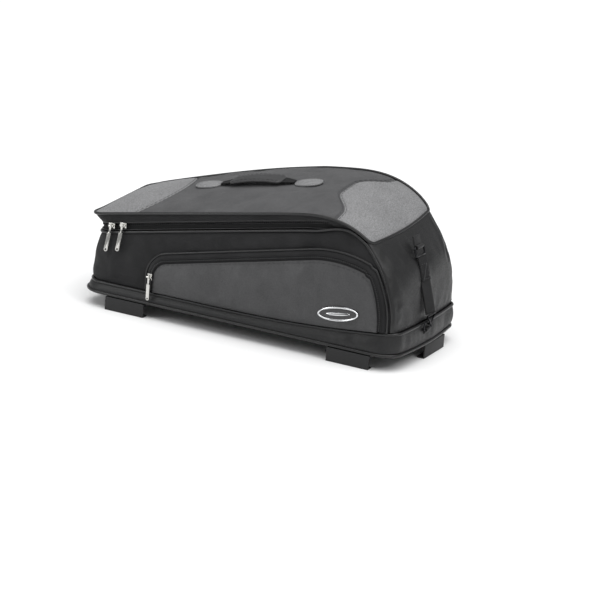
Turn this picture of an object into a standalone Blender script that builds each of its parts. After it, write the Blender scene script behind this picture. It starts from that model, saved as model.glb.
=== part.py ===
"""Saddlebag-lid bag: a wedge-shaped zipped bag on a skirted base, with its lid, pocket, straps and lid hooks.

+X runs to the front (deep) end, -Y is the outboard side with the pocket, +Z is up.
Z = 0 is the foot of the lid hooks, and BASE_Z is the underside of the base pad.
"""
import math

import bmesh
import bpy
from mathutils import Matrix, Vector

MM = 0.001

# Driving dimensions, in millimetres
BASE_Z = 20.0           # underside of the base pad, above the foot of the hooks
BASE_HALF_WIDTH = 110.0
BASE_HALF_LENGTH = 252.0
LANDING_HALF_WIDTH = 73.0   # the thick middle of the pad, which bears on the hard lid between the hooks
LANDING_REAR = 214.0
LANDING_FRONT = 212.0
LANDING_DROP = 3.2
BODY_HALF_WIDTH = 102.5
TOP_HALF_WIDTH = 98.0   # centre of the piping round the lid
REACH = 260.9           # outer face of the end strap's hook
SHIFT_X = 4.0           # centre the whole length and width on the origin
SHIFT_Y = 1.0
ZIP_SLOPE = 0.195       # the zip line climbs this much towards the front
ZIP_HEIGHT = 142.0      # zip line above the base pad at x = 0
WALL = 4.0              # padded wall: cloth, foam and lining
LID_THICK = 3.5
PIPE_R = 2.0
GAP = 0.4               # clearance between neighbours
CROWN = 9.0             # how far the lid stands up along its middle
INBOARD_RISE = 17.0     # the inboard wall is this much taller halfway along
REAR_SLANT = 0.055      # the rear end runs back by this share towards the inboard side
LID_REAR_X = -249.0
LID_FRONT_X = 192.0     # front seam of the lid at the sides
LID_FRONT_BOW = 13.0
LID_CORNER_R = 12.0
HINGE_X = 209.6         # the lid bends open along its front seam
HINGE_Z = 154.6
CHAIN_N = 93.3          # distance of the zip chain from the middle plane
CHAIN_REAR_X = -240.0
CHAIN_CORNER_R = 30.0
SLIDER_A_X = -191.0
SLIDER_B_X = -210.0
SLIDER_N = 96.2         # back of a main slider, from the middle plane
BAIL_N = 5.0            # bail rod in front of the slider's back
PULL_LENGTH = 37.5
POCKET_PULL_LENGTH = 34.0
PULL_TILT = math.radians(9)
PULL_LEAN = math.radians(5)
POCKET_ARC_X = -108.0   # centre of the pocket zip's rear corner
POCKET_ARC_Z = 42.5
POCKET_ARC_R = 27.0
POCKET_TOP_SLOPE = 0.22
STRAP_Y = -16.0
STRAP_WIDTH = 25.0

SIDE_STEPS = 12
CORNER_STEPS = 5
END_STEPS = 6

# ---------------------------------------------------------------- materials


def hex_colour(code):
    """A linear RGBA colour from an sRGB hex code."""
    parts = [int(code[i:i + 2], 16) / 255 for i in (0, 2, 4)]
    return [c / 12.92 if c <= 0.04045 else ((c + 0.055) / 1.055) ** 2.4 for c in parts] + [1.0]


def make_material(name, code, roughness, metallic=0.0):
    material = bpy.data.materials.new(name)
    material.use_nodes = True
    shader = material.node_tree.nodes["Principled BSDF"]
    shader.inputs["Base Color"].default_value = hex_colour(code)
    shader.inputs["Roughness"].default_value = roughness
    shader.inputs["Metallic"].default_value = metallic
    return material


def make_materials():
    return {
        "nylon": make_material("ballistic_nylon", "2a2a2b", 0.75),
        "vinyl": make_material("black_vinyl", "3a3a3c", 0.5),
        "insert": make_material("grey_vinyl", "6d6d70", 0.5),
        "piping": make_material("piping_vinyl", "232324", 0.45),
        "tape": make_material("zip_tape", "1e1e1f", 0.8),
        "chain": make_material("zip_coil", "29292a", 0.4),
        "metal": make_material("zinc_alloy", "b9babc", 0.25, 1.0),
        "chrome": make_material("chromed_badge", "d8d9dc", 0.12, 1.0),
        "webbing": make_material("webbing", "202021", 0.8),
        "rubber": make_material("rubber_pad", "242527", 0.85),
        "board": make_material("stiffener_board", "303030", 0.6),
        "lining": make_material("lining_cloth", "55565a", 0.85),
        "mesh": make_material("mesh_cloth", "3c3c3f", 0.9),
    }


# ---------------------------------------------------------------- the bag's shape, in mm above the base pad


def body_foot(x):
    """Top line of the base skirt, which deepens at the front."""
    t = min(max((x + 60) / 300, 0.0), 1.0)
    return 16 + 17 * t ** 2.5


def smooth_step(t):
    t = min(max(t, 0.0), 1.0)
    return t * t * (3 - 2 * t)


def lid_edge(x):
    """Height of the lid's piped edge: a straight climb that rolls over at the front."""
    t = min(max((x - 60) / 132, 0.0), 1.15)
    return 113 + 0.18 * (x + 240.5) - 40 * t ** 3


def zip_line(x):
    """Height of the zip chain, which tucks in under the lid's edge towards the front."""
    if x <= 100:
        return ZIP_HEIGHT + ZIP_SLOPE * x
    return lid_edge(x) - 11.7 + 9.0 * smooth_step((x - 100) / 70)


def wall_top(x):
    """Height of the piping along the top of the side panels."""
    return zip_line(x) - 10.5 + 7.2 * smooth_step((x - 105) / 60)


def seam_x(z):
    """x of the side panels' front seam: upright below, then rolling back under the lid."""
    return 236 - 51 * (max(z - 45, 0) / 105) ** 2


def seam_gap(z):
    """Room left along X on each side of that seam for its piping."""
    return 2.4 * math.sqrt(1 + (102 * max(z - 45, 0) / 105 ** 2) ** 2) + 2.5 * smooth_step((z - 138) / 10)


def front_x(z):
    """x of the front end panel on the middle line."""
    return 248 - 0.13 * (z - 32) - 27 * (max(z - 85, 0) / 67) ** 2


def wall_n(x, z):
    """Distance of a side wall's outer face from the middle plane, fuller in the middle of its height."""
    low, high = body_foot(x), wall_top(min(x, 172))
    v = min(max((z - low) / (high - low), 0.0), 1.0)
    return BODY_HALF_WIDTH - 5.5 * v ** 2 + 1.5 * math.sin(math.pi * v)


def lid_front(y, inset=0.0):
    """Front edge of the lid, bowed forwards and rounded at its corners."""
    start = TOP_HALF_WIDTH + 0.2 - LID_CORNER_R
    radius = LID_CORNER_R - inset
    over = min(max(abs(y) - start, 0.0), radius)
    bow = LID_FRONT_BOW * (1 - min(abs(y) / TOP_HALF_WIDTH, 1.0) ** 2)
    return LID_FRONT_X + bow - LID_CORNER_R + math.sqrt(radius ** 2 - over ** 2)


def lid_rear(y, inset=0.0):
    """Rear edge of the lid, rounded at its corners."""
    start = TOP_HALF_WIDTH + 0.2 - 22
    radius = 22 - inset
    over = min(max(abs(y) - start, 0.0), radius)
    return LID_REAR_X + 22 - math.sqrt(radius ** 2 - over ** 2)


def lid_top(x, y):
    """Height of the lid's outer face: the edge height plus a pillow-like crown."""
    across = 1 - min(abs(y) / TOP_HALF_WIDTH, 1.0) ** 2.4
    rear = 1 - math.exp(-max(x - LID_REAR_X, 0) / 22)
    front = 1 - math.exp(-max(lid_front(y) - x, 0) / 22)
    return lid_edge(x) + CROWN * across * (0.3 + 0.7 * rear * front)


def warp(x, y, z):
    """Slants the rear end and lifts the inboard side, in mm above the base pad."""
    if x < 0:
        x *= 1 + REAR_SLANT * min(max((y + 60) / 158, 0.0), 1.0)
    along = min(max((x - LID_REAR_X) / (LID_FRONT_X - LID_REAR_X), 0.0), 1.0)
    rise = 12 + INBOARD_RISE * math.sin(math.pi * along) ** 0.8
    across = min(max((y + TOP_HALF_WIDTH) / (2 * TOP_HALF_WIDTH), 0.0), 1.0)
    return Vector((x, y, z + rise * across * min(max((z - 35) / 105, 0.0), 1.2)))


def spot(x, y, z):
    """A warped point in metres above the floor."""
    return (warp(x, y, z) + Vector((0, 0, BASE_Z))) * MM


# ---------------------------------------------------------------- mesh helpers


def place(obj, material):
    obj.data.materials.append(material)
    bpy.context.scene.collection.objects.link(obj)
    return obj


def mesh_object(name, bm, material, smooth=40):
    bmesh.ops.remove_doubles(bm, verts=bm.verts, dist=1e-6)
    bmesh.ops.recalc_face_normals(bm, faces=bm.faces)
    mesh = bpy.data.meshes.new(name)
    bm.to_mesh(mesh)
    bm.free()
    mesh.shade_smooth()
    mesh.set_sharp_from_angle(angle=math.radians(smooth))
    return place(bpy.data.objects.new(name, mesh), material)


def lofted(name, outer, inner, material, closed=False):
    """A closed sheet between two grids of points in mm: the outer rows and the matching inner rows."""
    bm = bmesh.new()
    grids = []
    for grid in (outer, inner):
        grids.append([[bm.verts.new(spot(x, y, z)) for x, y, z in row] for row in grid])
    rows, columns = len(outer), len(outer[0])
    spans = columns if closed else columns - 1
    for r in range(rows - 1):
        for c in range(spans):
            d = (c + 1) % columns
            for grid, turn in ((grids[0], 1), (grids[1], -1)):
                corners = [grid[r][c], grid[r][d], grid[r + 1][d], grid[r + 1][c]]
                bm.faces.new(corners[::turn])
    for r in (0, rows - 1):
        for c in range(spans):
            d = (c + 1) % columns
            bm.faces.new([grids[0][r][c], grids[0][r][d], grids[1][r][d], grids[1][r][c]])
    if not closed:
        for c in (0, columns - 1):
            for r in range(rows - 1):
                bm.faces.new([grids[0][r][c], grids[0][r + 1][c], grids[1][r + 1][c], grids[1][r][c]])
    return mesh_object(name, bm, material)


def tube(name, points, radius, material, cyclic=False, sides=8, bent=True):
    """A round cord along points given in mm above the base pad."""
    path = [warp(*p) if bent else Vector(p) for p in points]
    count = len(path)
    bm = bmesh.new()
    rings = []
    normal = None
    for i, here in enumerate(path):
        before = path[i - 1] if cyclic or i else here
        after = path[(i + 1) % count] if cyclic or i < count - 1 else here
        along = (after - before).normalized()
        if normal is None:
            normal = along.cross(Vector((0, 0, 1)) if abs(along.z) < 0.9 else Vector((1, 0, 0))).normalized()
        normal = (normal - along * normal.dot(along)).normalized()
        across = along.cross(normal)
        ring = []
        for k in range(sides):
            a = 2 * math.pi * k / sides
            out = (normal * math.cos(a) + across * math.sin(a)) * radius
            ring.append(bm.verts.new((here + out + Vector((0, 0, BASE_Z))) * MM))
        rings.append(ring)
    twist = 0
    if cyclic:
        twist = min(range(sides), key=lambda k: (rings[-1][0].co - rings[0][k].co).length)
        rings.append(rings[0][twist:] + rings[0][:twist])
    for low, high in zip(rings, rings[1:]):
        for k in range(sides):
            m = (k + 1) % sides
            bm.faces.new([low[k], low[m], high[m], high[k]])
    if not cyclic:
        bm.faces.new(rings[0][::-1])
        bm.faces.new(rings[-1])
    return mesh_object(name, bm, material, 60)


def slab(outline, z_low, z_high):
    """A flat plate from a plan outline as a bmesh, in mm above the base pad."""
    bm = bmesh.new()
    face = bm.faces.new([bm.verts.new(spot(x, y, z_low)) for x, y in outline])
    grown = bmesh.ops.extrude_face_region(bm, geom=[face])
    bmesh.ops.translate(bm, vec=(0, 0, (z_high - z_low) * MM),
                        verts=[v for v in grown["geom"] if isinstance(v, bmesh.types.BMVert)])
    bmesh.ops.recalc_face_normals(bm, faces=bm.faces)
    return bm


def plate(name, outline, z_low, z_high, material):
    return mesh_object(name, slab(outline, z_low, z_high), material)


def box(size, centre, turn=None):
    """A block as a bmesh, in mm about a centre, turned first."""
    bm = bmesh.new()
    bmesh.ops.create_cube(bm, size=1)
    bmesh.ops.scale(bm, vec=[s * MM for s in size], verts=bm.verts)
    if turn:
        bmesh.ops.transform(bm, matrix=turn, verts=bm.verts)
    bmesh.ops.translate(bm, vec=[c * MM for c in centre], verts=bm.verts)
    return bm


def rod(radius, length, centre, axis, segments=12):
    """A cylinder as a bmesh, in mm, along X, Y or Z."""
    bm = bmesh.new()
    bmesh.ops.create_cone(bm, cap_ends=True, segments=segments, radius1=radius * MM,
                          radius2=radius * MM, depth=length * MM)
    turn = {"X": Matrix.Rotation(math.pi / 2, 4, "Y"), "Y": Matrix.Rotation(math.pi / 2, 4, "X"),
            "Z": Matrix.Identity(4)}[axis]
    bmesh.ops.transform(bm, matrix=turn, verts=bm.verts)
    bmesh.ops.translate(bm, vec=[c * MM for c in centre], verts=bm.verts)
    return bm


def combined(name, bodies, cutters, material, matrix):
    """The union of some bmeshes less others, moved by a matrix, as one object."""
    target = mesh_object(name, bodies[0], material)
    for bm, operation in [(b, "UNION") for b in bodies[1:]] + [(b, "DIFFERENCE") for b in cutters]:
        tool = mesh_object(name + "_tool", bm, material)
        tool.hide_render = True
        tool.display_type = "WIRE"
        tool.matrix_world = matrix
        step = target.modifiers.new("Boolean", "BOOLEAN")
        step.operation = operation
        step.solver = "EXACT"
        step.object = tool
    target.matrix_world = matrix
    return target


# ---------------------------------------------------------------- plan outlines


def rounded_outline(half_width, x_rear, x_front, r_rear, r_front, bow_rear=0.0, bow_front=0.0):
    """A closed plan outline, from the outboard side forwards and round, with bowed ends."""
    points = []
    for i in range(SIDE_STEPS):
        t = i / SIDE_STEPS
        points.append((x_rear + r_rear + t * (x_front - r_front - x_rear - r_rear), -half_width))
    points += corner_points(x_front - r_front, -half_width + r_front, r_front, -90)
    for i in range(1, END_STEPS):
        y = (-1 + 2 * i / END_STEPS) * (half_width - r_front)
        points.append((x_front + bow_front * (1 - (y / (half_width - r_front)) ** 2), y))
    points += corner_points(x_front - r_front, half_width - r_front, r_front, 0)
    for i in range(1, SIDE_STEPS):
        t = 1 - i / SIDE_STEPS
        points.append((x_rear + r_rear + t * (x_front - r_front - x_rear - r_rear), half_width))
    points += corner_points(x_rear + r_rear, half_width - r_rear, r_rear, 90)
    for i in range(1, END_STEPS):
        y = (1 - 2 * i / END_STEPS) * (half_width - r_rear)
        points.append((x_rear - bow_rear * (1 - (y / (half_width - r_rear)) ** 2), y))
    points += corner_points(x_rear + r_rear, -half_width + r_rear, r_rear, 180)[:-1]
    return points


def corner_points(cx, cy, radius, start):
    found = []
    for i in range(CORNER_STEPS + 1):
        a = math.radians(start + 90 * i / CORNER_STEPS)
        found.append((cx + radius * math.cos(a), cy + radius * math.sin(a)))
    return found


def rear_loop(half_width, x_rear, radius, x_end, bow=0.0, steps=SIDE_STEPS):
    """An open plan path: back along the outboard side, round the rear and forwards again to x_end."""
    side = []
    for i in range(steps):
        side.append((x_end + (x_rear + radius - x_end) * i / steps, -half_width))
    half = side + corner_points(x_rear + radius, -half_width + radius, radius, 180)[::-1]
    rear = []
    for i in range(1, END_STEPS):
        y = (-1 + 2 * i / END_STEPS) * (half_width - radius)
        rear.append((x_rear - bow * (1 - (y / (half_width - radius)) ** 2), y))
    return half + rear + [(x, -y) for x, y in half[::-1]]


def band(name, lower, upper, z_lower, z_upper, thickness, material, closed=False, rows=1, bulge=0.0):
    """A wall between two matching plan paths, with heights as functions of x and the thickness inwards."""
    outer, inner = [], []
    for r in range(rows + 1):
        v = r / rows
        row, row_in = [], []
        for (x0, y0), (x1, y1) in zip(lower, upper):
            swell = bulge * math.sin(math.pi * v)
            x, y = x0 + v * (x1 - x0), y0 + v * (y1 - y0)
            low, high = z_lower(x0), z_upper(x1)
            row.append([x, y, low + v * (high - low), swell])
        for i, (x, y, z, swell) in enumerate(row):
            a = row[i - 1] if closed or i else row[i]
            b = row[(i + 1) % len(row)] if closed or i < len(row) - 1 else row[i]
            along = Vector((b[0] - a[0], b[1] - a[1])).normalized()
            out = Vector((along.y, -along.x))
            if out.dot(Vector((x + 5, y))) < 0:
                out = -out
            row[i] = [x, y, z, swell, out]
        for x, y, z, swell, out in row:
            row_in.append((x + out.x * (swell - thickness), y + out.y * (swell - thickness), z))
        outer.append([(x + out.x * swell, y + out.y * swell, z) for x, y, z, swell, out in row])
        inner.append(row_in)
    return lofted(name, outer, inner, material, closed)


# ---------------------------------------------------------------- base


def build_base(mat):
    pad = rounded_outline(BASE_HALF_WIDTH - 2.8, -BASE_HALF_LENGTH + 2.8, BASE_HALF_LENGTH - 7.8,
                          35, 28, 0, 5)
    landing = rounded_outline(LANDING_HALF_WIDTH, -LANDING_REAR, LANDING_FRONT, 20, 20)
    combined("base_pad", [slab(pad, 0, 3), slab(landing, -LANDING_DROP, 1)], [], mat["rubber"], Matrix.Identity(4))
    board = rounded_outline(104, -243, 239, 34, 24, 0, 4)
    plate("base_board", board, 3.4, 7.4, mat["board"])
    floor = rounded_outline(96, -236, 231, 30, 20, 0, 4)
    plate("floor_liner", floor, 7.8, 10.3, mat["lining"])

    low = rounded_outline(BASE_HALF_WIDTH, -BASE_HALF_LENGTH, BASE_HALF_LENGTH - 5, 36, 30, 0, 5)
    high = rounded_outline(104.2, -247.5, 246, 32, 18, 1, 3.5)
    band("base_skirt", low, high, lambda x: 5.6, lambda x: body_foot(x) - 2.5, 3, mat["vinyl"], True, 1)
    lower = rounded_outline(BASE_HALF_WIDTH + 0.6, -BASE_HALF_LENGTH - 0.6, BASE_HALF_LENGTH - 4.4,
                            36.6, 30.6, 0, 5)
    tube("skirt_piping_lower", [(x, y, 2.7) for x, y in lower], 2.3, mat["piping"], True)
    tube("skirt_piping_upper", [(x, y, body_foot(x)) for x, y in high], PIPE_R, mat["piping"], True)


def hook(name, centre, along, width, mat):
    """A flat clip: under the pad's edge, down over a hard lid's rim and a short lip back under it."""
    out = Vector((along.y, -along.x))
    thick, tongue, lip = 2.4, 34.0, 9.0
    top, foot = -0.4, -BASE_Z
    profile = [(-tongue, top), (thick, top), (thick, foot), (-lip, foot), (-lip, foot + thick),
               (0, foot + thick), (0, top - thick), (-tongue, top - thick)]
    bm = bmesh.new()
    half = along * width / 2
    corners = [[bm.verts.new(spot(centre.x + out.x * n + s * half.x, centre.y + out.y * n + s * half.y, z))
                for n, z in profile] for s in (-1, 1)]
    bm.faces.new(corners[0])
    bm.faces.new(corners[1][::-1])
    for i in range(len(profile)):
        j = (i + 1) % len(profile)
        bm.faces.new([corners[0][i], corners[1][i], corners[1][j], corners[0][j]])
    return mesh_object(name, bm, mat["rubber"])


def build_hooks(mat):
    side = BASE_HALF_WIDTH + 0.6
    for name, x, y_sign in (("hook_outboard_rear", -174, -1), ("hook_outboard_front", 180, -1),
                            ("hook_inboard_rear", -174, 1), ("hook_inboard_front", 180, 1)):
        hook(name, Vector((x, y_sign * side)), Vector((-y_sign, 0)), 64, mat)
    hook("hook_front", Vector((BASE_HALF_LENGTH - 1.5, 20)), Vector((0, 1)), 70, mat)
    hook("hook_rear", Vector((-BASE_HALF_LENGTH - 0.6, 0)), Vector((0, -1)), 70, mat)


# ---------------------------------------------------------------- body walls


def side_panel(name, sign, mat):
    """A long side wall: straight under the zip, its front edge cut to the rolled-back seam."""
    outer, inner = [], []
    columns, rows = 16, 5
    rear_x, foot_end, top_end = -206.0, 233.6, 170.0
    for r in range(rows + 1):
        v = r / rows
        row, row_in = [], []
        for c in range(columns + 1):
            u = c / columns
            foot, top = rear_x + u * (foot_end - rear_x), rear_x + u * (top_end - rear_x)
            low = body_foot(foot) + 2.5
            high = wall_top(top) - 2.5 - 1.1 * smooth_step((top - 115) / 40)
            high -= 1.2 * smooth_step((top - 140) / 30) + 3.5 * smooth_step((top - 158) / 12)
            z = low + v * (high - low)
            x = foot + v * (top - foot)
            x += u ** 3 * (seam_x(z) - seam_gap(z) - foot_end - v * (top_end - foot_end))
            n = wall_n(x, z)
            row.append((x, sign * n, z))
            row_in.append((x, sign * (n - WALL), z))
        outer.append(row)
        inner.append(row_in)
    return lofted(name, outer, inner, mat["nylon"])


def front_panel(mat):
    """The front end, wrapped round both corners from seam to seam."""
    outer, inner = [], []
    columns, rows = 14, 8
    for r in range(rows + 1):
        v = r / rows
        row, row_in = [], []
        for c in range(columns + 1):
            a = math.pi / 2 * (-1 + 2 * c / columns)
            side = 100 * math.sin(a)
            top = min(lid_top(lid_front(side), side), 151.0) - 3.2
            low = 33 + 2.8
            z = low + v * (top - low)
            half = wall_n(min(seam_x(z), 220), z) - 0.3
            reach = max(math.cos(a), 0.0) ** 0.7
            edge = seam_x(z) + seam_gap(z)
            y = half * math.sin(a)
            row.append((edge + (front_x(z) - edge) * reach, y, z))
            row_in.append((edge + (front_x(z) - WALL - edge) * reach, y * (half - WALL) / half, z))
        outer.append(row)
        inner.append(row_in)
    return lofted("front_end_panel", outer, inner, mat["vinyl"])


def rear_panel(mat):
    lower = rear_loop(BODY_HALF_WIDTH, -245, 30, -206.4, 2, 2)
    upper = rear_loop(97, -240, 30, -206.4, 2, 2)
    return band("rear_end_panel", lower, upper, lambda x: body_foot(x) + 2.5, lambda x: wall_top(x) - 2.5,
                WALL, mat["nylon"], rows=4, bulge=3)


def side_piping_points(sign):
    """Along the top of a side panel and down the front corner."""
    line = []
    for i in range(16):
        x = -206 + i * (168 + 206) / 15
        line.append((x, wall_top(x)))
    line += [(174, 155.8), (180, 152.2)]
    for i in range(11):
        z = 148.0 - i * (148.0 - 36) / 10
        line.append((seam_x(z), z))
    points = []
    for x, z in line:
        proud = 0.8 * smooth_step((x - 60) / 60) * smooth_step((z - 140) / 8)
        points.append((x, sign * (wall_n(x, z) - 0.2 + proud), z))
    return points


def build_walls(mat):
    side_panel("outboard_panel", -1, mat)
    side_panel("inboard_panel", 1, mat)
    front_panel(mat)
    rear_panel(mat)
    tube("outboard_piping", side_piping_points(-1), PIPE_R, mat["piping"])
    tube("inboard_piping", side_piping_points(1), PIPE_R, mat["piping"])
    rear = rear_loop(97.2, -240.4, 30, -206.8, 2, 2)
    tube("rear_piping", [(x, y, wall_top(x)) for x, y in rear], PIPE_R, mat["piping"])


# ---------------------------------------------------------------- main zip


def zip_path(n, end_x):
    off = n - CHAIN_N
    return rear_loop(n, CHAIN_REAR_X - off, CHAIN_CORNER_R + off, end_x, 1.5)


def build_main_zip(mat):
    back = zip_path(91.4, 138)
    band("main_tape_lower", back, back, lambda x: zip_line(x) - 9, lambda x: zip_line(x) - 0.4,
         1.2, mat["tape"])
    band("main_tape_upper", back, back, lambda x: zip_line(x) + 0.4,
         lambda x: zip_line(x) + max(min(8.0, lid_edge(x) - zip_line(x) - 4.8), 1.2), 1.2, mat["tape"])
    chain = zip_path(94.4, 138)
    for name, low, high in (("main_chain_lower", -1.9, -0.3), ("main_chain_upper", 0.3, 1.9)):
        band(name, chain, chain, lambda x, a=low: zip_line(x) + a, lambda x, b=high: zip_line(x) + b,
             2.4, mat["chain"])


# ---------------------------------------------------------------- lid


def lid_skin(name, x_start, x_end, mat_name, mat, columns):
    """Part of the lid's top between two seams, given as functions of y."""
    outer, inner = [], []
    half = TOP_HALF_WIDTH - 2.5
    for share in (-1, -0.97, -0.9, -0.78, -0.56, -0.28, 0, 0.28, 0.56, 0.78, 0.9, 0.97, 1):
        y = share * half
        row, row_in = [], []
        for c in range(columns + 1):
            u = c / columns
            x = x_start(y) + u * (x_end(y) - x_start(y))
            z = lid_top(x, y)
            row.append((x, y, z))
            row_in.append((x, y, z - LID_THICK))
        outer.append(row)
        inner.append(row_in)
    return lofted(name, outer, inner, mat[mat_name])


def rear_seam(y):
    return -146 - 26 * (abs(y) / 91) ** 2


def front_seam(y):
    return 92 + 45 * (abs(y) / 91) ** 1.8


def build_lid(mat):
    half_gap = GAP / 2
    lid_skin("lid_rear_insert", lambda y: lid_rear(y, 2.7), lambda y: rear_seam(y) - half_gap,
             "insert", mat, 5)
    lid_skin("lid_centre_panel", lambda y: rear_seam(y) + half_gap, lambda y: front_seam(y) - half_gap,
             "nylon", mat, 8)
    lid_skin("lid_front_insert", lambda y: front_seam(y) + half_gap, lambda y: lid_front(y, 2.7),
             "insert", mat, 6)

    lower = rear_loop(94.2, -240.9, 30.9, 110, 1.5)
    upper = rear_loop(97.2, LID_REAR_X + 0.8, 22, 110, 0)
    band("lid_rim", lower, upper, lambda x: zip_line(x) + 2.4, lambda x: lid_edge(x) - 4.0, 2.4, mat["nylon"])

    edge = [(x, y, lid_edge(x)) for x, y in rear_loop(TOP_HALF_WIDTH + 0.2, LID_REAR_X, 22, 178, 0)]
    front = []
    for y in (97.0, 94.5, 90.5, 85, 70, 46, 22, 0, -22, -46, -70, -85, -90.5, -94.5, -97.0):
        x = lid_front(y)
        front.append((x, y, lid_top(x, y)))
    tube("lid_piping", edge + front, PIPE_R, mat["piping"], True)

    outer, inner = [], []
    for r in range(7):
        y = (-1 + 2 * r / 6) * 80
        row, row_in = [], []
        for c in range(11):
            x = -222 + c * (160 + 222) / 10
            z = lid_top(x, y) - LID_THICK - 2.0
            row.append((x, y, z))
            row_in.append((x, y, z - 1.2))
        outer.append(row)
        inner.append(row_in)
    lofted("lid_lining", outer, inner, mat["lining"])

    outer, inner = [], []
    for r in range(5):
        y = (-1 + 2 * r / 4) * 62
        row, row_in = [], []
        for c in range(7):
            x = -170 + c * 230 / 6
            z = lid_top(x, y) - LID_THICK - 5.5
            row.append((x, y, z))
            row_in.append((x, y, z - 1.0))
        outer.append(row)
        inner.append(row_in)
    lofted("lid_mesh_pocket", outer, inner, mat["mesh"])


# ---------------------------------------------------------------- carry handle


HANDLE_REAR_X, HANDLE_FRONT_X = -107.0, 48.5
HANDLE_LIFT = 3.9     # axis of the handle above the lid
CAP_LENGTH, CAP_WIDTH, CAP_THICK = 42.0, 27.0, 4.6


def handle_frame():
    """Matrix of the handle: origin midway between the caps, X along the handle, Z off the lid."""
    a, b = (warp(x, 0, lid_top(x, 0)) for x in (HANDLE_REAR_X, HANDLE_FRONT_X))
    middle, along = (a + b) / 2, (b - a).normalized()
    across = warp(middle.x, 20, lid_top(middle.x, 20)) - warp(middle.x, -20, lid_top(middle.x, -20))
    up = along.cross(across).normalized()
    turn = Matrix((along, up.cross(along), up)).transposed().to_4x4()
    return Matrix.Translation((middle + Vector((0, 0, BASE_Z))) * MM) @ turn, (b - a).length / 2


def oval(length, width, steps=20):
    """A superellipse outline, blunter than an ellipse."""
    found = []
    for i in range(steps):
        a = 2 * math.pi * i / steps
        c, s = math.cos(a), math.sin(a)
        x, y = math.copysign(abs(c) ** 0.85, c), math.copysign(abs(s) ** 0.85, s)
        found.append((length / 2 * x, width / 2 * y))
    return found


def build_handle(mat):
    frame, half = handle_frame()
    for name, centre in (("handle_cap_rear", -half), ("handle_cap_front", half)):
        bm = bmesh.new()
        rings = []
        for scale, z in ((1.0, 1.1), (1.0, 2.8), (0.84, CAP_THICK)):
            rings.append([bm.verts.new(((centre + x * scale) * MM, y * scale * MM, z * MM))
                          for x, y in oval(CAP_LENGTH, CAP_WIDTH)])
        for low, high in zip(rings, rings[1:]):
            for i in range(len(low)):
                j = (i + 1) % len(low)
                bm.faces.new([low[i], low[j], high[j], high[i]])
        bm.faces.new(rings[0][::-1])
        bm.faces.new(rings[-1])
        mesh_object(name, bm, mat["insert"]).matrix_world = frame

    reach = half - CAP_LENGTH / 2 - GAP
    steps, thick, rise = 14, 2.0, 6.0
    rows = {-1: [], 1: []}
    for i in range(steps + 1):
        s = -1 + 2 * i / steps
        x = s * reach
        z = HANDLE_LIFT + rise * (1 - s ** 2) ** 1.3
        width = 5 + 4.3 * min(1.0, (1 - abs(s)) / 0.25)
        for side in (-1, 1):
            rows[side].append((x, side * width, z))
    bm = bmesh.new()
    corners = []
    for i in range(steps + 1):
        (x, y0, z), (_, y1, _) = rows[-1][i], rows[1][i]
        low, high = z - thick / 2, z + thick / 2
        corners.append([bm.verts.new((x * MM, y * MM, w * MM))
                        for y, w in ((y0, low), (y1, low), (y1, high), (y0, high))])
    bm.faces.new(corners[0][::-1])
    bm.faces.new(corners[-1])
    for a, b in zip(corners, corners[1:]):
        for k in range(4):
            m = (k + 1) % 4
            bm.faces.new([a[k], a[m], b[m], b[k]])
    mesh_object("handle_strap", bm, mat["webbing"]).matrix_world = frame

    bm = bmesh.new()
    outer, inner = [], []
    for i in range(9):
        x = -42 + 84 * i / 8
        s = x / reach
        z = HANDLE_LIFT + rise * (1 - s ** 2) ** 1.3
        ring = []
        for k in range(16):
            a = 2 * math.pi * k / 16
            ring.append((math.cos(a), math.sin(a)))
        outer.append([bm.verts.new((x * MM, 14 * c * MM, (z + 4 * n) * MM)) for c, n in ring])
        inner.append([bm.verts.new((x * MM, 12 * c * MM, (z + 2.3 * n) * MM)) for c, n in ring])
    for i in range(8):
        for k in range(16):
            m = (k + 1) % 16
            bm.faces.new([outer[i][k], outer[i][m], outer[i + 1][m], outer[i + 1][k]])
            bm.faces.new([inner[i][m], inner[i][k], inner[i + 1][k], inner[i + 1][m]])
    for i in (0, 8):
        for k in range(16):
            m = (k + 1) % 16
            bm.faces.new([outer[i][k], outer[i][m], inner[i][m], inner[i][k]])
    mesh_object("handle_grip", bm, mat["vinyl"]).matrix_world = frame


# ---------------------------------------------------------------- outboard pocket


def pocket_top(x):
    """Height of the pocket's zip along its top, which arches over at the front."""
    arc_end = math.atan(POCKET_TOP_SLOPE)
    x0 = POCKET_ARC_X - POCKET_ARC_R * math.sin(arc_end)
    z0 = POCKET_ARC_Z + POCKET_ARC_R * math.cos(arc_end)
    return z0 + POCKET_TOP_SLOPE * (x - x0) - 0.0032 * max(x - 110, 0) ** 2


def pocket_path(inset, front=True):
    """The pocket's outline from its rear foot, over the top and down its front, moved inwards by inset."""
    radius = POCKET_ARC_R - inset
    points = [(POCKET_ARC_X - radius, z) for z in (23, 34)]
    turns = 5
    for i in range(turns + 1):
        a = math.pi - i * (math.pi / 2 - math.atan(POCKET_TOP_SLOPE)) / turns
        points.append((POCKET_ARC_X + radius * math.cos(a), POCKET_ARC_Z + radius * math.sin(a)))
    x0, z0 = points[-1]
    drop = z0 - pocket_top(x0)
    corner = 200.0
    for _ in range(40):
        corner = (corner + seam_x(pocket_top(corner) + drop) - 15 - inset) / 2
    end = corner if front else corner - 7
    for i in range(1, 12):
        x = x0 + i * (end - x0) / 11
        points.append((x, pocket_top(x) + drop))
    if front:
        z_corner = points[-1][1]
        for i in range(1, 7):
            z = z_corner - i * (z_corner - 40) / 6
            points.append((seam_x(z) - 15 - inset, z))
    return points


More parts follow.
